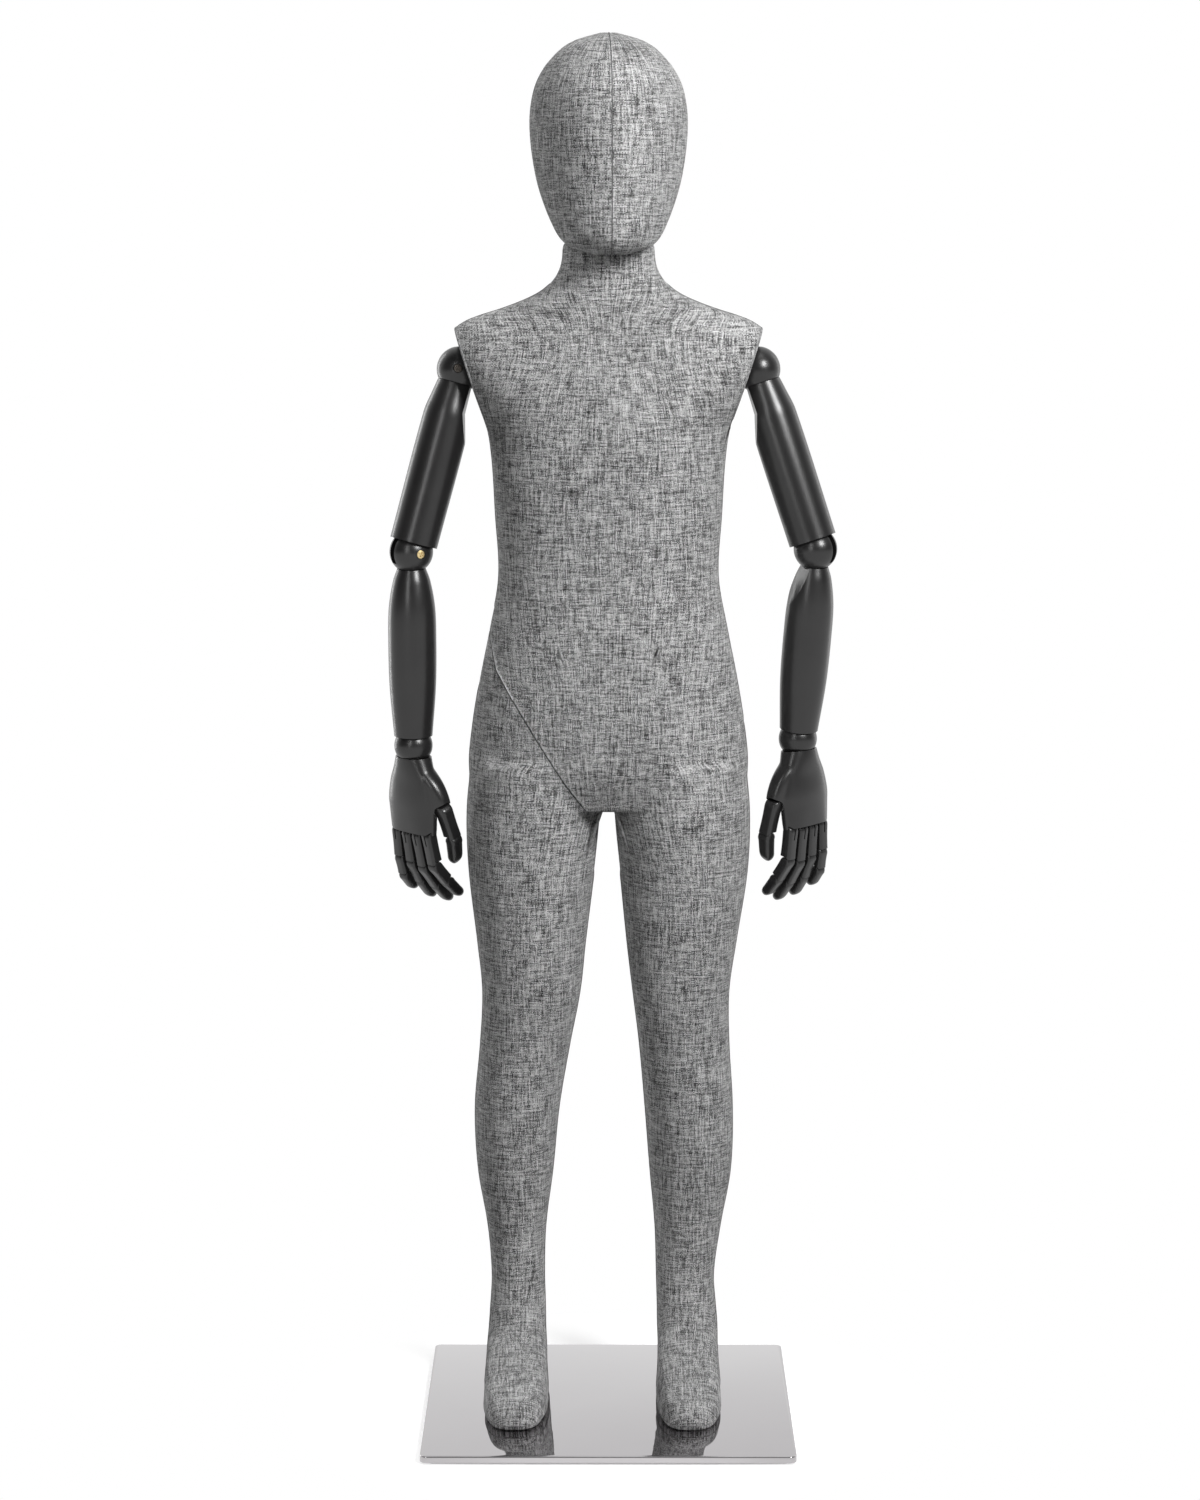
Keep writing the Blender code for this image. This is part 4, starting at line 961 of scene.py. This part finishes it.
def head_map(mesh):
    """Each panel's cloth: round from the seam across, and height up, so its warp gathers at the crown."""
    layer = mesh.uv_layers.new(name="cloth")
    for face in mesh.polygons:
        side = -1 if sum(mesh.vertices[v].co.x for v in face.vertices) < 0 else 1
        for loop in face.loop_indices:
            place = mesh.vertices[mesh.loops[loop].vertex_index].co - HEAD_CENTRE
            turn = math.atan2(side * place.x, -place.y)
            layer.data[loop].uv = (turn * 0.068 + (side > 0), place.z * 1.02 + 3.0 * (side > 0))


yaw = Matrix.Rotation(HEAD_YAW, 4, "Z")
turned = Matrix.Translation(HEAD_CENTRE) @ yaw @ Matrix.Translation(-HEAD_CENTRE)
egg = head_shape()
bmesh.ops.recalc_face_normals(egg, faces=egg.faces)
egg_mesh = bpy.data.meshes.new("head_cover")
egg.to_mesh(egg_mesh)
egg.free()
head_map(egg_mesh)
egg_mesh.transform(turned)
head_skin = BVHTree.FromPolygons([v.co for v in egg_mesh.vertices], [p.vertices for p in egg_mesh.polygons])
neck_place = Matrix.Translation((0, BODY_Y, 0))
neck_room = bored(neck_place, NECK_RADIUS + 0.0010, 0.90, NECK_TOP + 0.0006, 64)
head_cover = carved(as_object(egg_mesh), [("DIFFERENCE", neck_room)])
LINEN_HEAD = linen("grey_linen_head", 8.0)
piece_from_mesh("head_cover", head_cover, LINEN_HEAD, "head", ["head"], 50)


def head_seam():
    """Points round the head in its seam's plane, from under the chin over the crown to the nape."""
    points = []
    for k in range(150):
        turn = math.radians(-63 + 316 * k / 149)
        way = turned.to_3x3() @ Vector((0, -math.cos(turn), math.sin(turn)))
        hit = head_skin.ray_cast(HEAD_CENTRE, way)[0]
        if hit is not None and (hit.z > NECK_TOP + 0.004 or hit.y < -0.004 or hit.y > 0.078):
            points.append(hit - way * SEAM_SINK)
    return points


# The head's seam wears the same thread darkened with painted groove shade
piece_from("head_seam", tube(head_seam(), HEAD_SEAM_RADIUS), SEAM_THREAD_PAINTED_SHADE, "head")


# The pegs: bare turned beech. One is glued in the head and drops into the neck, the other is
# fixed in the right leg and slides in the torso's slot to lock the leg on.
def beech():
    made, tree = empty_material("bare_beech")
    place = object_place(tree)
    grain = noise(tree, place, 90, 5, (4, 4, 0.35))
    fleck = noise(tree, place, 900, 2, (1, 1, 0.15))
    shades = [(0.3, (0.42, 0.27, 0.15)), (0.55, (0.60, 0.43, 0.26)), (0.8, (0.68, 0.52, 0.34))]
    shade = ramp(tree, grain, shades)
    surface(tree, {"Base Color": shade, "Roughness": 0.65}, (fleck, 0.00008))
    return made


BEECH = beech()
refinish("neck_peg", BEECH)
refinish("leg_peg", BEECH)

# The shoulder pivots: turned steel rods, set in sockets inside the armholes. Each ends in a
# flat tongue, pinned in the shoulder ball's slot. Arm pieces are drawn left-handed and mirrored.
PIVOT_RADIUS, PIVOT_DEPTH = 0.0050, 0.0300
TONGUE_HALF, TONGUE_ROUND, PIVOT_TONGUE = 0.0030, 0.0080, 0.0038
PIN_HOLE = 0.0025
FIT, GAP = 0.0005, 0.0003  # the play in a hinge and round a dowel
LACQUER_SHADES = [(0.3, (0.0075, 0.0072, 0.0074)), (0.7, (0.0115, 0.0111, 0.0112))]
DUST = (0.16, 0.16, 0.16, 1)


def black_lacquer(name, seed):
    """Satin black paint over wood: a faint grain under it, an uneven spray and a little dust."""
    made, tree = empty_material(name)
    place = object_place(tree)
    grain = noise(tree, place, 700, 3, (1, 1, 0.07), seed)
    spray = noise(tree, place, 2600, 2, seed=seed)
    cloud = noise(tree, place, 40, 3, seed=seed)
    dust = noise(tree, place, 1900, 1, seed=seed + 3)
    specks = maths(tree, "MULTIPLY", maths(tree, "SUBTRACT", dust, 0.70), 6.0, clamp=True)
    mixed = {0: maths(tree, "MULTIPLY", specks, 0.08), 6: ramp(tree, cloud, LACQUER_SHADES), 7: DUST}
    shade = put(tree, "ShaderNodeMix", mixed, data_type="RGBA").outputs[2]
    rough = maths(tree, "ADD", 0.31, maths(tree, "MULTIPLY", maths(tree, "SUBTRACT", grain, 0.5), 0.05))
    height = maths(tree, "ADD", maths(tree, "MULTIPLY", grain, 0.6), maths(tree, "MULTIPLY", spray, 0.5))
    surface(tree, {"Base Color": shade, "Roughness": rough, "Specular IOR Level": 0.6}, (height, 0.000006))
    return made


LACQUER = black_lacquer("black_lacquer", 2.0)
arm_places = {}
for side_name, side in SIDES.items():
    bends = [f"{side_name}_{name}" for name in ("arm_swing", "elbow_bend", "hand_bend")]
    shoulder, elbow, wrist = (joint_place(name) for name in bends)
    swing_y, bend_y, hand_y = (joint_axis(name, -side) for name in bends)
    middle, ring_finger = (joint_place(f"{side_name}_{name}_proximal_bend") for name in ("middle", "ring"))
    knuckles = (middle + ring_finger) / 2
    arm_places[side_name] = {
        "pivot": framed(shoulder, swing_y, joint_axis(f"{side_name}_shoulder_turn", -side)),
        "arm": framed(shoulder, swing_y, shoulder - elbow),
        "fore": framed(elbow, bend_y, elbow - wrist),
        "wrist": framed(wrist, hand_y, elbow - wrist),
        "palm": framed(wrist, hand_y, wrist - knuckles),
    }


def arm_piece(side_name, name, mesh, place, finish=LACQUER, body=None, smooth=30):
    """Sets a left-hand mesh in its frame, mirrored for the right, in place of the node of its name."""
    if isinstance(place, str):
        place = arm_places[side_name][place]
    side, node = SIDES[side_name], f"{side_name}_{name}"
    mesh.transform(place @ Matrix.Diagonal((side, 1, 1, 1)))
    if side < 0:
        mesh.flip_normals()
    rides = f"{side_name}_{body or name}"
    piece_from_mesh(node + "_painted", mesh, finish, rides, [node], smooth)


def lathed(profile, sides=64):
    """A closed turning of (radius, z) points round Z, from the bottom up."""
    wide = [(max(radius, 0.00002), z) for radius, z in profile]
    return skin([ring(0, 0, z, radius, radius, 2.0, sides) for radius, z in wide])


def turned_rod(radius, low, high, edge=0.0004):
    neck = radius - edge
    profile = [(0, low), (neck, low), (radius, low + edge), (radius, high - edge), (neck, high), (0, high)]
    return lathed(profile, 48)


def turn_of(angle, axis):
    return Matrix.Rotation(math.radians(angle), 4, axis)


def tongue_shape(reach, radius):
    """A flat tongue, rounded at the hinge, up to reach (or down, if it is negative)."""
    turn = 180 if reach > 0 else 0
    outline = arc(0, 0, radius, turn, turn + 180, 20)
    outline += [(-outline[0][0], reach), (outline[0][0], reach)]
    return cutter_along_y(outline, -TONGUE_HALF, TONGUE_HALF)


def across(radius, low, high):
    """A round cutter along Y."""
    return bored(turn_of(-90, "X"), radius, low, high, 24)


for side_name in SIDES:
    rod = turned_rod(PIVOT_RADIUS, -SHOULDER_BALL - PIVOT_DEPTH, -SHOULDER_BALL - 0.0013)
    blade = tongue_shape(-SHOULDER_BALL - 0.004, PIVOT_TONGUE)
    made = carved(loose("rod", rod), [("UNION", blade), ("DIFFERENCE", across(PIN_HOLE, -0.02, 0.02))])
    arm_piece(side_name, "shoulder_pivot", made, "pivot", TURNED_STEEL, smooth=40)

# The balls of the shoulders, elbows and wrists: turned beech, sprayed satin black. Each is slotted
# for its tongue and cross-bored for its screw, with a dowel that turns in the next length of the arm.
ELBOW_BALL, WRIST_BALL = 0.0177, 0.0157
DOWEL, DOWEL_LENGTH = 0.0050, 0.0180
HEAD_ROOM = 0.0039
TONGUE_ROOM = TONGUE_ROUND + FIT


def ball_shape(radius, rings=40):
    turns = [math.pi * k / rings for k in range(rings + 1)]
    return lathed([(radius * math.sin(turn), -radius * math.cos(turn)) for turn in turns], 72)


def block_cutter(low, high, place=None):
    shape = bmesh.new()
    middle, size = (Vector(low) + Vector(high)) / 2, Vector(high) - Vector(low)
    bmesh.ops.create_cube(shape, size=1, matrix=Matrix.Translation(middle) @ Matrix.Diagonal((*size, 1)))
    if place is not None:
        bmesh.ops.transform(shape, matrix=place, verts=shape.verts)
    return loose("block", shape)


def screw_rooms(ball_radius, way):
    """What a hinge screw and its sunk head take out of a ball."""
    reach = ball_radius - 0.0015
    shank = sorted((way * (reach - 0.0002), -way * 0.7 * (reach + GAP)))
    head = sorted((way * (reach - 0.0003), way * (ball_radius + 0.004)))
    return [("DIFFERENCE", across(PIN_HOLE, *shank)), ("DIFFERENCE", across(HEAD_ROOM, *head))]


def hinge_ball(radius, slot_low, slot_high, dowel, side, screw=True):
    half = TONGUE_HALF + FIT / 2
    slot = block_cutter((slot_low[0], -half, slot_low[1]), (slot_high[0], half, slot_high[1]))
    steps = [("DIFFERENCE", slot)]
    low, high = sorted((dowel * radius * 0.7, dowel * (radius + DOWEL_LENGTH)))
    steps.append(("UNION", loose("dowel", turned_rod(DOWEL, low, high))))
    if screw:
        steps += screw_rooms(radius, side)
    return carved(loose("ball", ball_shape(radius)), steps)


for side_name, side in SIDES.items():
    reach = SHOULDER_BALL + 0.002
    made = hinge_ball(SHOULDER_BALL, (-reach, -TONGUE_ROOM), (TONGUE_ROOM, reach), -1, side)
    arm_piece(side_name, "shoulder_ball", made, "arm", smooth=40)
    reach = ELBOW_BALL + 0.002
    made = hinge_ball(ELBOW_BALL, (-reach, -TONGUE_ROOM), (reach, reach), -1, side)
    arm_piece(side_name, "elbow_ball", made, "fore", smooth=40)
    reach = 0.75 * WRIST_BALL
    made = hinge_ball(WRIST_BALL, (-reach, -WRIST_BALL - 0.002), (reach, 0.0065), 1, side, False)
    arm_piece(side_name, "wrist_ball", made, "wrist", smooth=40)

# The hinge screws: steel, with cross-recessed pan heads, bronzed at the shoulders and zinc-plated
# at the elbows. Each is driven through its ball and tongue from one side, with its head sunk.
SCREW_HEAD, SCREW_SHANK = 0.0035, 0.0022
RECESS_HALF, RECESS_WIDTH, RECESS_DEPTH = 0.0021, 0.0005, 0.0009
DARK_BRONZE = metal("dark_bronze", (0.075, 0.066, 0.058), 0.32, 0.2)


def hinge_screw(ball_radius, way):
    reach = ball_radius - 0.0015
    tip, top = -0.7 * reach, reach + 0.0012
    profile = [(0, tip), (SCREW_SHANK, tip), (SCREW_SHANK, reach)]
    profile += [(SCREW_HEAD - 0.0002, reach), (SCREW_HEAD, reach + 0.0002), (SCREW_HEAD, top - 0.0006)]
    profile += [(SCREW_HEAD * 0.93, top - 0.0003), (SCREW_HEAD * 0.75, top - 0.0001), (0, top)]
    steps = []
    for angle in (25, 115):
        low, high = (-RECESS_HALF, -RECESS_WIDTH, top - RECESS_DEPTH), (RECESS_HALF, RECESS_WIDTH, top + 0.01)
        steps.append(("DIFFERENCE", block_cutter(low, high, turn_of(angle, "Z"))))
    made = carved(loose("screw", lathed(profile, 40)), steps)
    made.transform(turn_of(-90 * way, "X"))
    return made


for side_name, side in SIDES.items():
    made = hinge_screw(SHOULDER_BALL, side)
    arm_piece(side_name, "shoulder_screw", made, "arm", DARK_BRONZE, "shoulder_ball")
    made = hinge_screw(ELBOW_BALL, side)
    arm_piece(side_name, "elbow_screw", made, "fore", YELLOW_ZINC, "elbow_ball")

# The upper arms: turned beech, sprayed satin black and cupped at both ends. The top is flattened
# inside so that it clears the body, and the elbow's tongue stands out of the lower cup.
UPPER_LENGTH, UPPER_RADIUS = 0.1524, 0.0195
UPPER_TURNING = [(0.009, 0.0145), (0.022, 0.0168), (0.040, UPPER_RADIUS)]
UPPER_TURNING += [(UPPER_LENGTH - 0.0075, UPPER_RADIUS)]
RELIEF = [(-0.0125, 0.010), (-0.0125, -0.034), (-UPPER_RADIUS - 0.001, -0.060)]
RELIEF += [(-0.050, -0.060), (-0.050, 0.010)]
ELBOW_TWIST = -33


def arm_length(turning, steps):
    """A turned length that hangs from its joint. turning gives (distance down, radius)."""
    stations = [(-z, 0, 0, radius, radius, 2.0) for z, radius in reversed(turning)]
    return loose("length", lofted(stations, steps, 80))


def dowel_room(low, high):
    return bored(Matrix(), DOWEL + GAP, low, high)


for side_name in SIDES:
    hinge = Matrix.Translation((0, 0, -UPPER_LENGTH)) @ turn_of(ELBOW_TWIST, "Z")
    elbow_tongue, pin_hole = tongue_shape(ELBOW_BALL + 0.004, TONGUE_ROUND), across(PIN_HOLE, -0.02, 0.02)
    for part in (elbow_tongue, pin_hole):
        part.data.transform(hinge)
    steps = [
        ("DIFFERENCE", cutter_along_y(RELIEF, -0.03, 0.03)),
        ("DIFFERENCE", ball_cutter((0, 0, 0), SHOULDER_BALL + FIT)),
        ("DIFFERENCE", dowel_room(-SHOULDER_BALL - DOWEL_LENGTH - GAP, 0)),
        ("DIFFERENCE", ball_cutter((0, 0, -UPPER_LENGTH), ELBOW_BALL + FIT)),
        ("UNION", elbow_tongue),
        ("DIFFERENCE", pin_hole),
    ]
    arm_piece(side_name, "upper_arm", carved(arm_length(UPPER_TURNING, 70), steps), "arm")

# The forearms: turned beech with a slight swell, sprayed satin black and cupped at both ends. A
# flat is cut beside the elbow ball, and the wrist's dowel turns in the lower end.
FORE_LENGTH, FORE_RADIUS = 0.1605, 0.0196
FORE_TURNING = [(0.0135, 0.0115), (0.024, 0.0152), (0.045, 0.0188), (0.070, FORE_RADIUS)]
FORE_TURNING += [(0.110, 0.0190), (FORE_LENGTH - 0.0085, 0.0157)]
FACET = [(-0.0046, 0.010), (-0.0046, -0.008), (-0.0200, -0.0475), (-0.050, -0.0475), (-0.050, 0.010)]
FACET_TURN = 48

for side_name, side in SIDES.items():
    flat = cutter_along_y(FACET, -0.03, 0.03)
    flat.data.transform(turn_of(side * FACET_TURN, "Z"))
    wrist_room = -FORE_LENGTH + WRIST_BALL + DOWEL_LENGTH + GAP
    steps = [
        ("DIFFERENCE", flat),
        ("DIFFERENCE", ball_cutter((0, 0, 0), ELBOW_BALL + FIT)),
        ("DIFFERENCE", dowel_room(-ELBOW_BALL - DOWEL_LENGTH - GAP, 0)),
        ("DIFFERENCE", ball_cutter((0, 0, -FORE_LENGTH), WRIST_BALL + FIT)),
        ("DIFFERENCE", dowel_room(-FORE_LENGTH, wrist_room)),
    ]
    arm_piece(side_name, "forearm", carved(arm_length(FORE_TURNING, 80), steps), "fore")

# The palms: beech carved in one with the thumb's lobe, cupped for the wrist ball, and hollowed
# under the knuckles so that the back of the hand covers the finger hinges.
PALM_LENGTH, PALM_HALF_WIDTH, PALM_HALF_THICK = 0.0725, 0.0252, 0.0095
FINGER_PITCH, FINGER_RADIUS, FINGER_HALF_WIDTH = 0.0124, 0.0052, 0.0053
FINGERS = {"index": 0.0745, "middle": 0.0757, "ring": 0.0757, "little": 0.0747}  # how far down
THUMB_ROOT, THUMB_RADIUS, THUMB_LENGTH = (-0.0070, -0.0295, -0.0520), 0.0060, 0.0275
PALM_VOXEL = 0.0007
THICK, WIDE = PALM_HALF_THICK, PALM_HALF_WIDTH
PALM = [  # height, middle x and y, half thickness, half width, squareness
    (-PALM_LENGTH - 0.004, 0, 0, THICK * 0.83, WIDE - 0.0002, 2.5),
    (-PALM_LENGTH + 0.0005, 0, 0, THICK * 0.85, WIDE, 2.5),
    (-0.056, 0, 0.0008, THICK * 1.06, WIDE + 0.0014, 2.15),
    (-0.045, 0.0006, 0.0008, THICK * 1.16, WIDE + 0.0018, 2.05),
    (-0.029, 0, 0.0004, 0.0120, 0.0240, 2.2),
    (-0.018, 0, 0, 0.0132, 0.0192, 2.1),
    (-0.009, 0, 0, 0.0134, 0.0158, 2.1),
    (-0.005, 0, 0, 0.0132, 0.0145, 2.0),
]
THUMB_LOBE = [
    (-0.0520, -0.0072, -0.0268, 0.0076, 0.0082, 2.2),
    (-0.0400, -0.0052, -0.0222, 0.0090, 0.0106, 2.2),
    (-0.0280, -0.0028, -0.0160, 0.0098, 0.0112, 2.2),
    (-0.0150, 0, -0.0068, 0.0098, 0.0090, 2.2),
]


def knuckle_room(radius, half_width, place):
    far = 4 * radius
    outline = arc(0, 0, radius, -60, 90, 16) + [(-far, radius), (-far, -far), (radius / 2, -far)]
    made = cutter_along_y(outline, -half_width, half_width)
    made.data.transform(place)
    return made


def palm_form():
    made = loose("palm", lofted(THUMB_LOBE, 30, 48, lofted(PALM, 60, 72)))
    melt = made.modifiers.new("one_skin", "REMESH")
    melt.mode, melt.voxel_size = "VOXEL", PALM_VOXEL
    ease = made.modifiers.new("ease", "SMOOTH")
    ease.factor, ease.iterations = 0.5, 14
    return as_object(final_mesh(made))


for side_name in SIDES:
    thumb_place = Matrix.Translation(THUMB_ROOT) @ turn_of(-2, "X") @ turn_of(20, "Y") @ turn_of(-90, "Z")
    beside = THUMB_RADIUS + FIT
    steps = [
        ("DIFFERENCE", block_cutter((-0.04, -0.06, -0.12), (0.04, 0.06, -PALM_LENGTH + 0.0005))),
        ("DIFFERENCE", block_cutter((-0.04, -0.06, -0.009), (0.04, 0.06, 0.02))),
        ("DIFFERENCE", ball_cutter((0, 0, 0), WRIST_BALL + FIT)),
    ]
    for k, knuckle in enumerate(FINGERS.values()):
        place = Matrix.Translation((0, (k - 1.5) * FINGER_PITCH, -knuckle))
        steps.append(("DIFFERENCE", knuckle_room(FINGER_RADIUS + 2 * FIT, FINGER_HALF_WIDTH + FIT, place)))
    steps.append(("DIFFERENCE", ball_cutter(THUMB_ROOT, THUMB_RADIUS * 1.5)))
    open_thumb = thumb_place @ turn_of(6, "Y")
    path = block_cutter((-beside, -beside, -THUMB_LENGTH), (beside, beside, 0), open_thumb)
    steps.append(("DIFFERENCE", path))
    steps.append(("UNION", tongue_shape(-0.020, 0.0060)))
    arm_piece(side_name, "palm", carved(palm_form(), steps), "palm", smooth=35)

# The fingers and thumbs: rounded beech bones, sprayed with the rest of the hand. Each is round at
# its own hinge and hollowed at the next, cut back on the palm side so that it can fold.
CURLS = {"index": 4, "middle": 5, "ring": 8, "little": 22, "thumb": 18}  # the tips, in degrees
TIPS = {"index": 0.0195, "middle": 0.0200, "ring": 0.0185, "little": 0.0160, "thumb": 0.0235}
BONE_SQUARE, BONE_SIDES = 4.2, 48


def bone_mesh(length, radius, half_width, tip, slit):
    rings = []
    for k in range(1, 10):
        turn = math.pi / 2 * k / 9
        wide = half_width * (0.92 + 0.08 * math.sin(turn))
        rings.append(
            ring(0, 0, radius * math.cos(turn), radius * math.sin(turn), wide, BONE_SQUARE, BONE_SIDES)
        )
    over = radius + 0.0004
    corner = math.sqrt(over**2 - (0.93 * radius) ** 2)
    steps = []
    if tip:
        for k in range(1, 25):
            share = k / 24
            z = -(length - 0.00002) * math.sin(share * math.pi / 2) ** 0.9
            end = min(1.0, -z / length)
            outer = radius * (1 - 0.05 * min(1.0, end / 0.55) - 0.30 * max(0.0, (end - 0.55) / 0.45) ** 1.3)
            inner = -radius * (0.98 - 0.02 * end)
            close = math.sqrt(max(0.0002, 1 - max(0.0, (end - 0.66) / 0.34) ** 2))
            middle = (outer + inner) / 2 - radius * 0.10 * max(0.0, (end - 0.6) / 0.4)
            deep, wide = (outer - inner) / 2 * close, half_width * (1 - 0.08 * end) * close
            rings.append(ring(middle, 0, z, deep, wide, 3.4 - 0.8 * end, BONE_SIDES))
    else:
        low = -length + corner + 0.0008
        for k in range(1, 11):
            share = k / 10
            waist = 1 - 0.035 * math.sin(math.pi * share)
            size = (radius * waist, half_width * waist)
            rings.append(ring(0, 0, low * share, *size, BONE_SQUARE, BONE_SIDES))
        rings.append(ring(0, 0, low - 0.0003, radius * 0.94, half_width * 0.94, BONE_SQUARE, BONE_SIDES))
        outline = [(-0.02, -length + over), *arc(0, -length, over, 90, 0, 20)]
        outline += [(over, -length - 0.02), (-0.02, -length - 0.02)]
        steps.append(("DIFFERENCE", cutter_along_y(outline, -0.02, 0.02)))
    if slit:
        steps.append(("DIFFERENCE", block_cutter((radius * 0.35, -0.0006, -0.0062), (0.02, 0.0006, 0.02))))
    shape = skin(rings)
    bmesh.ops.recalc_face_normals(shape, faces=shape.faces)
    return carved(loose("bone", shape), steps)


for side_name, side in SIDES.items():
    for finger in (*FINGERS, "thumb"):
        bones = ("proximal", "distal") if finger == "thumb" else ("proximal", "middle", "distal")
        joint_names = ("root", "tip") if finger == "thumb" else bones
        hinges = [joint_place(f"{side_name}_{finger}_{name}_bend") for name in joint_names]
        radius, half_width, sign = FINGER_RADIUS, FINGER_HALF_WIDTH, side
        if finger == "thumb":
            radius, half_width, sign = THUMB_RADIUS, THUMB_RADIUS, -side
        for k, bone_name in enumerate(bones):
            tip = k == len(bones) - 1
            thin = 1 - 0.03 * k
            if tip:
                place = place.to_3x3().to_4x4() @ turn_of(side * CURLS[finger], "Y")
                place = Matrix.Translation(hinges[k]) @ place
                length = TIPS[finger]
            else:
                axis = joint_axis(f"{side_name}_{finger}_{joint_names[k]}_bend", sign)
                place = framed(hinges[k], axis, hinges[k] - hinges[k + 1])
                length = (hinges[k] - hinges[k + 1]).length
            slit = k == 0 and finger != "thumb"
            made = bone_mesh(length, radius * thin, half_width * thin, tip, slit)
            arm_piece(side_name, f"{finger}_{bone_name}", made, place)
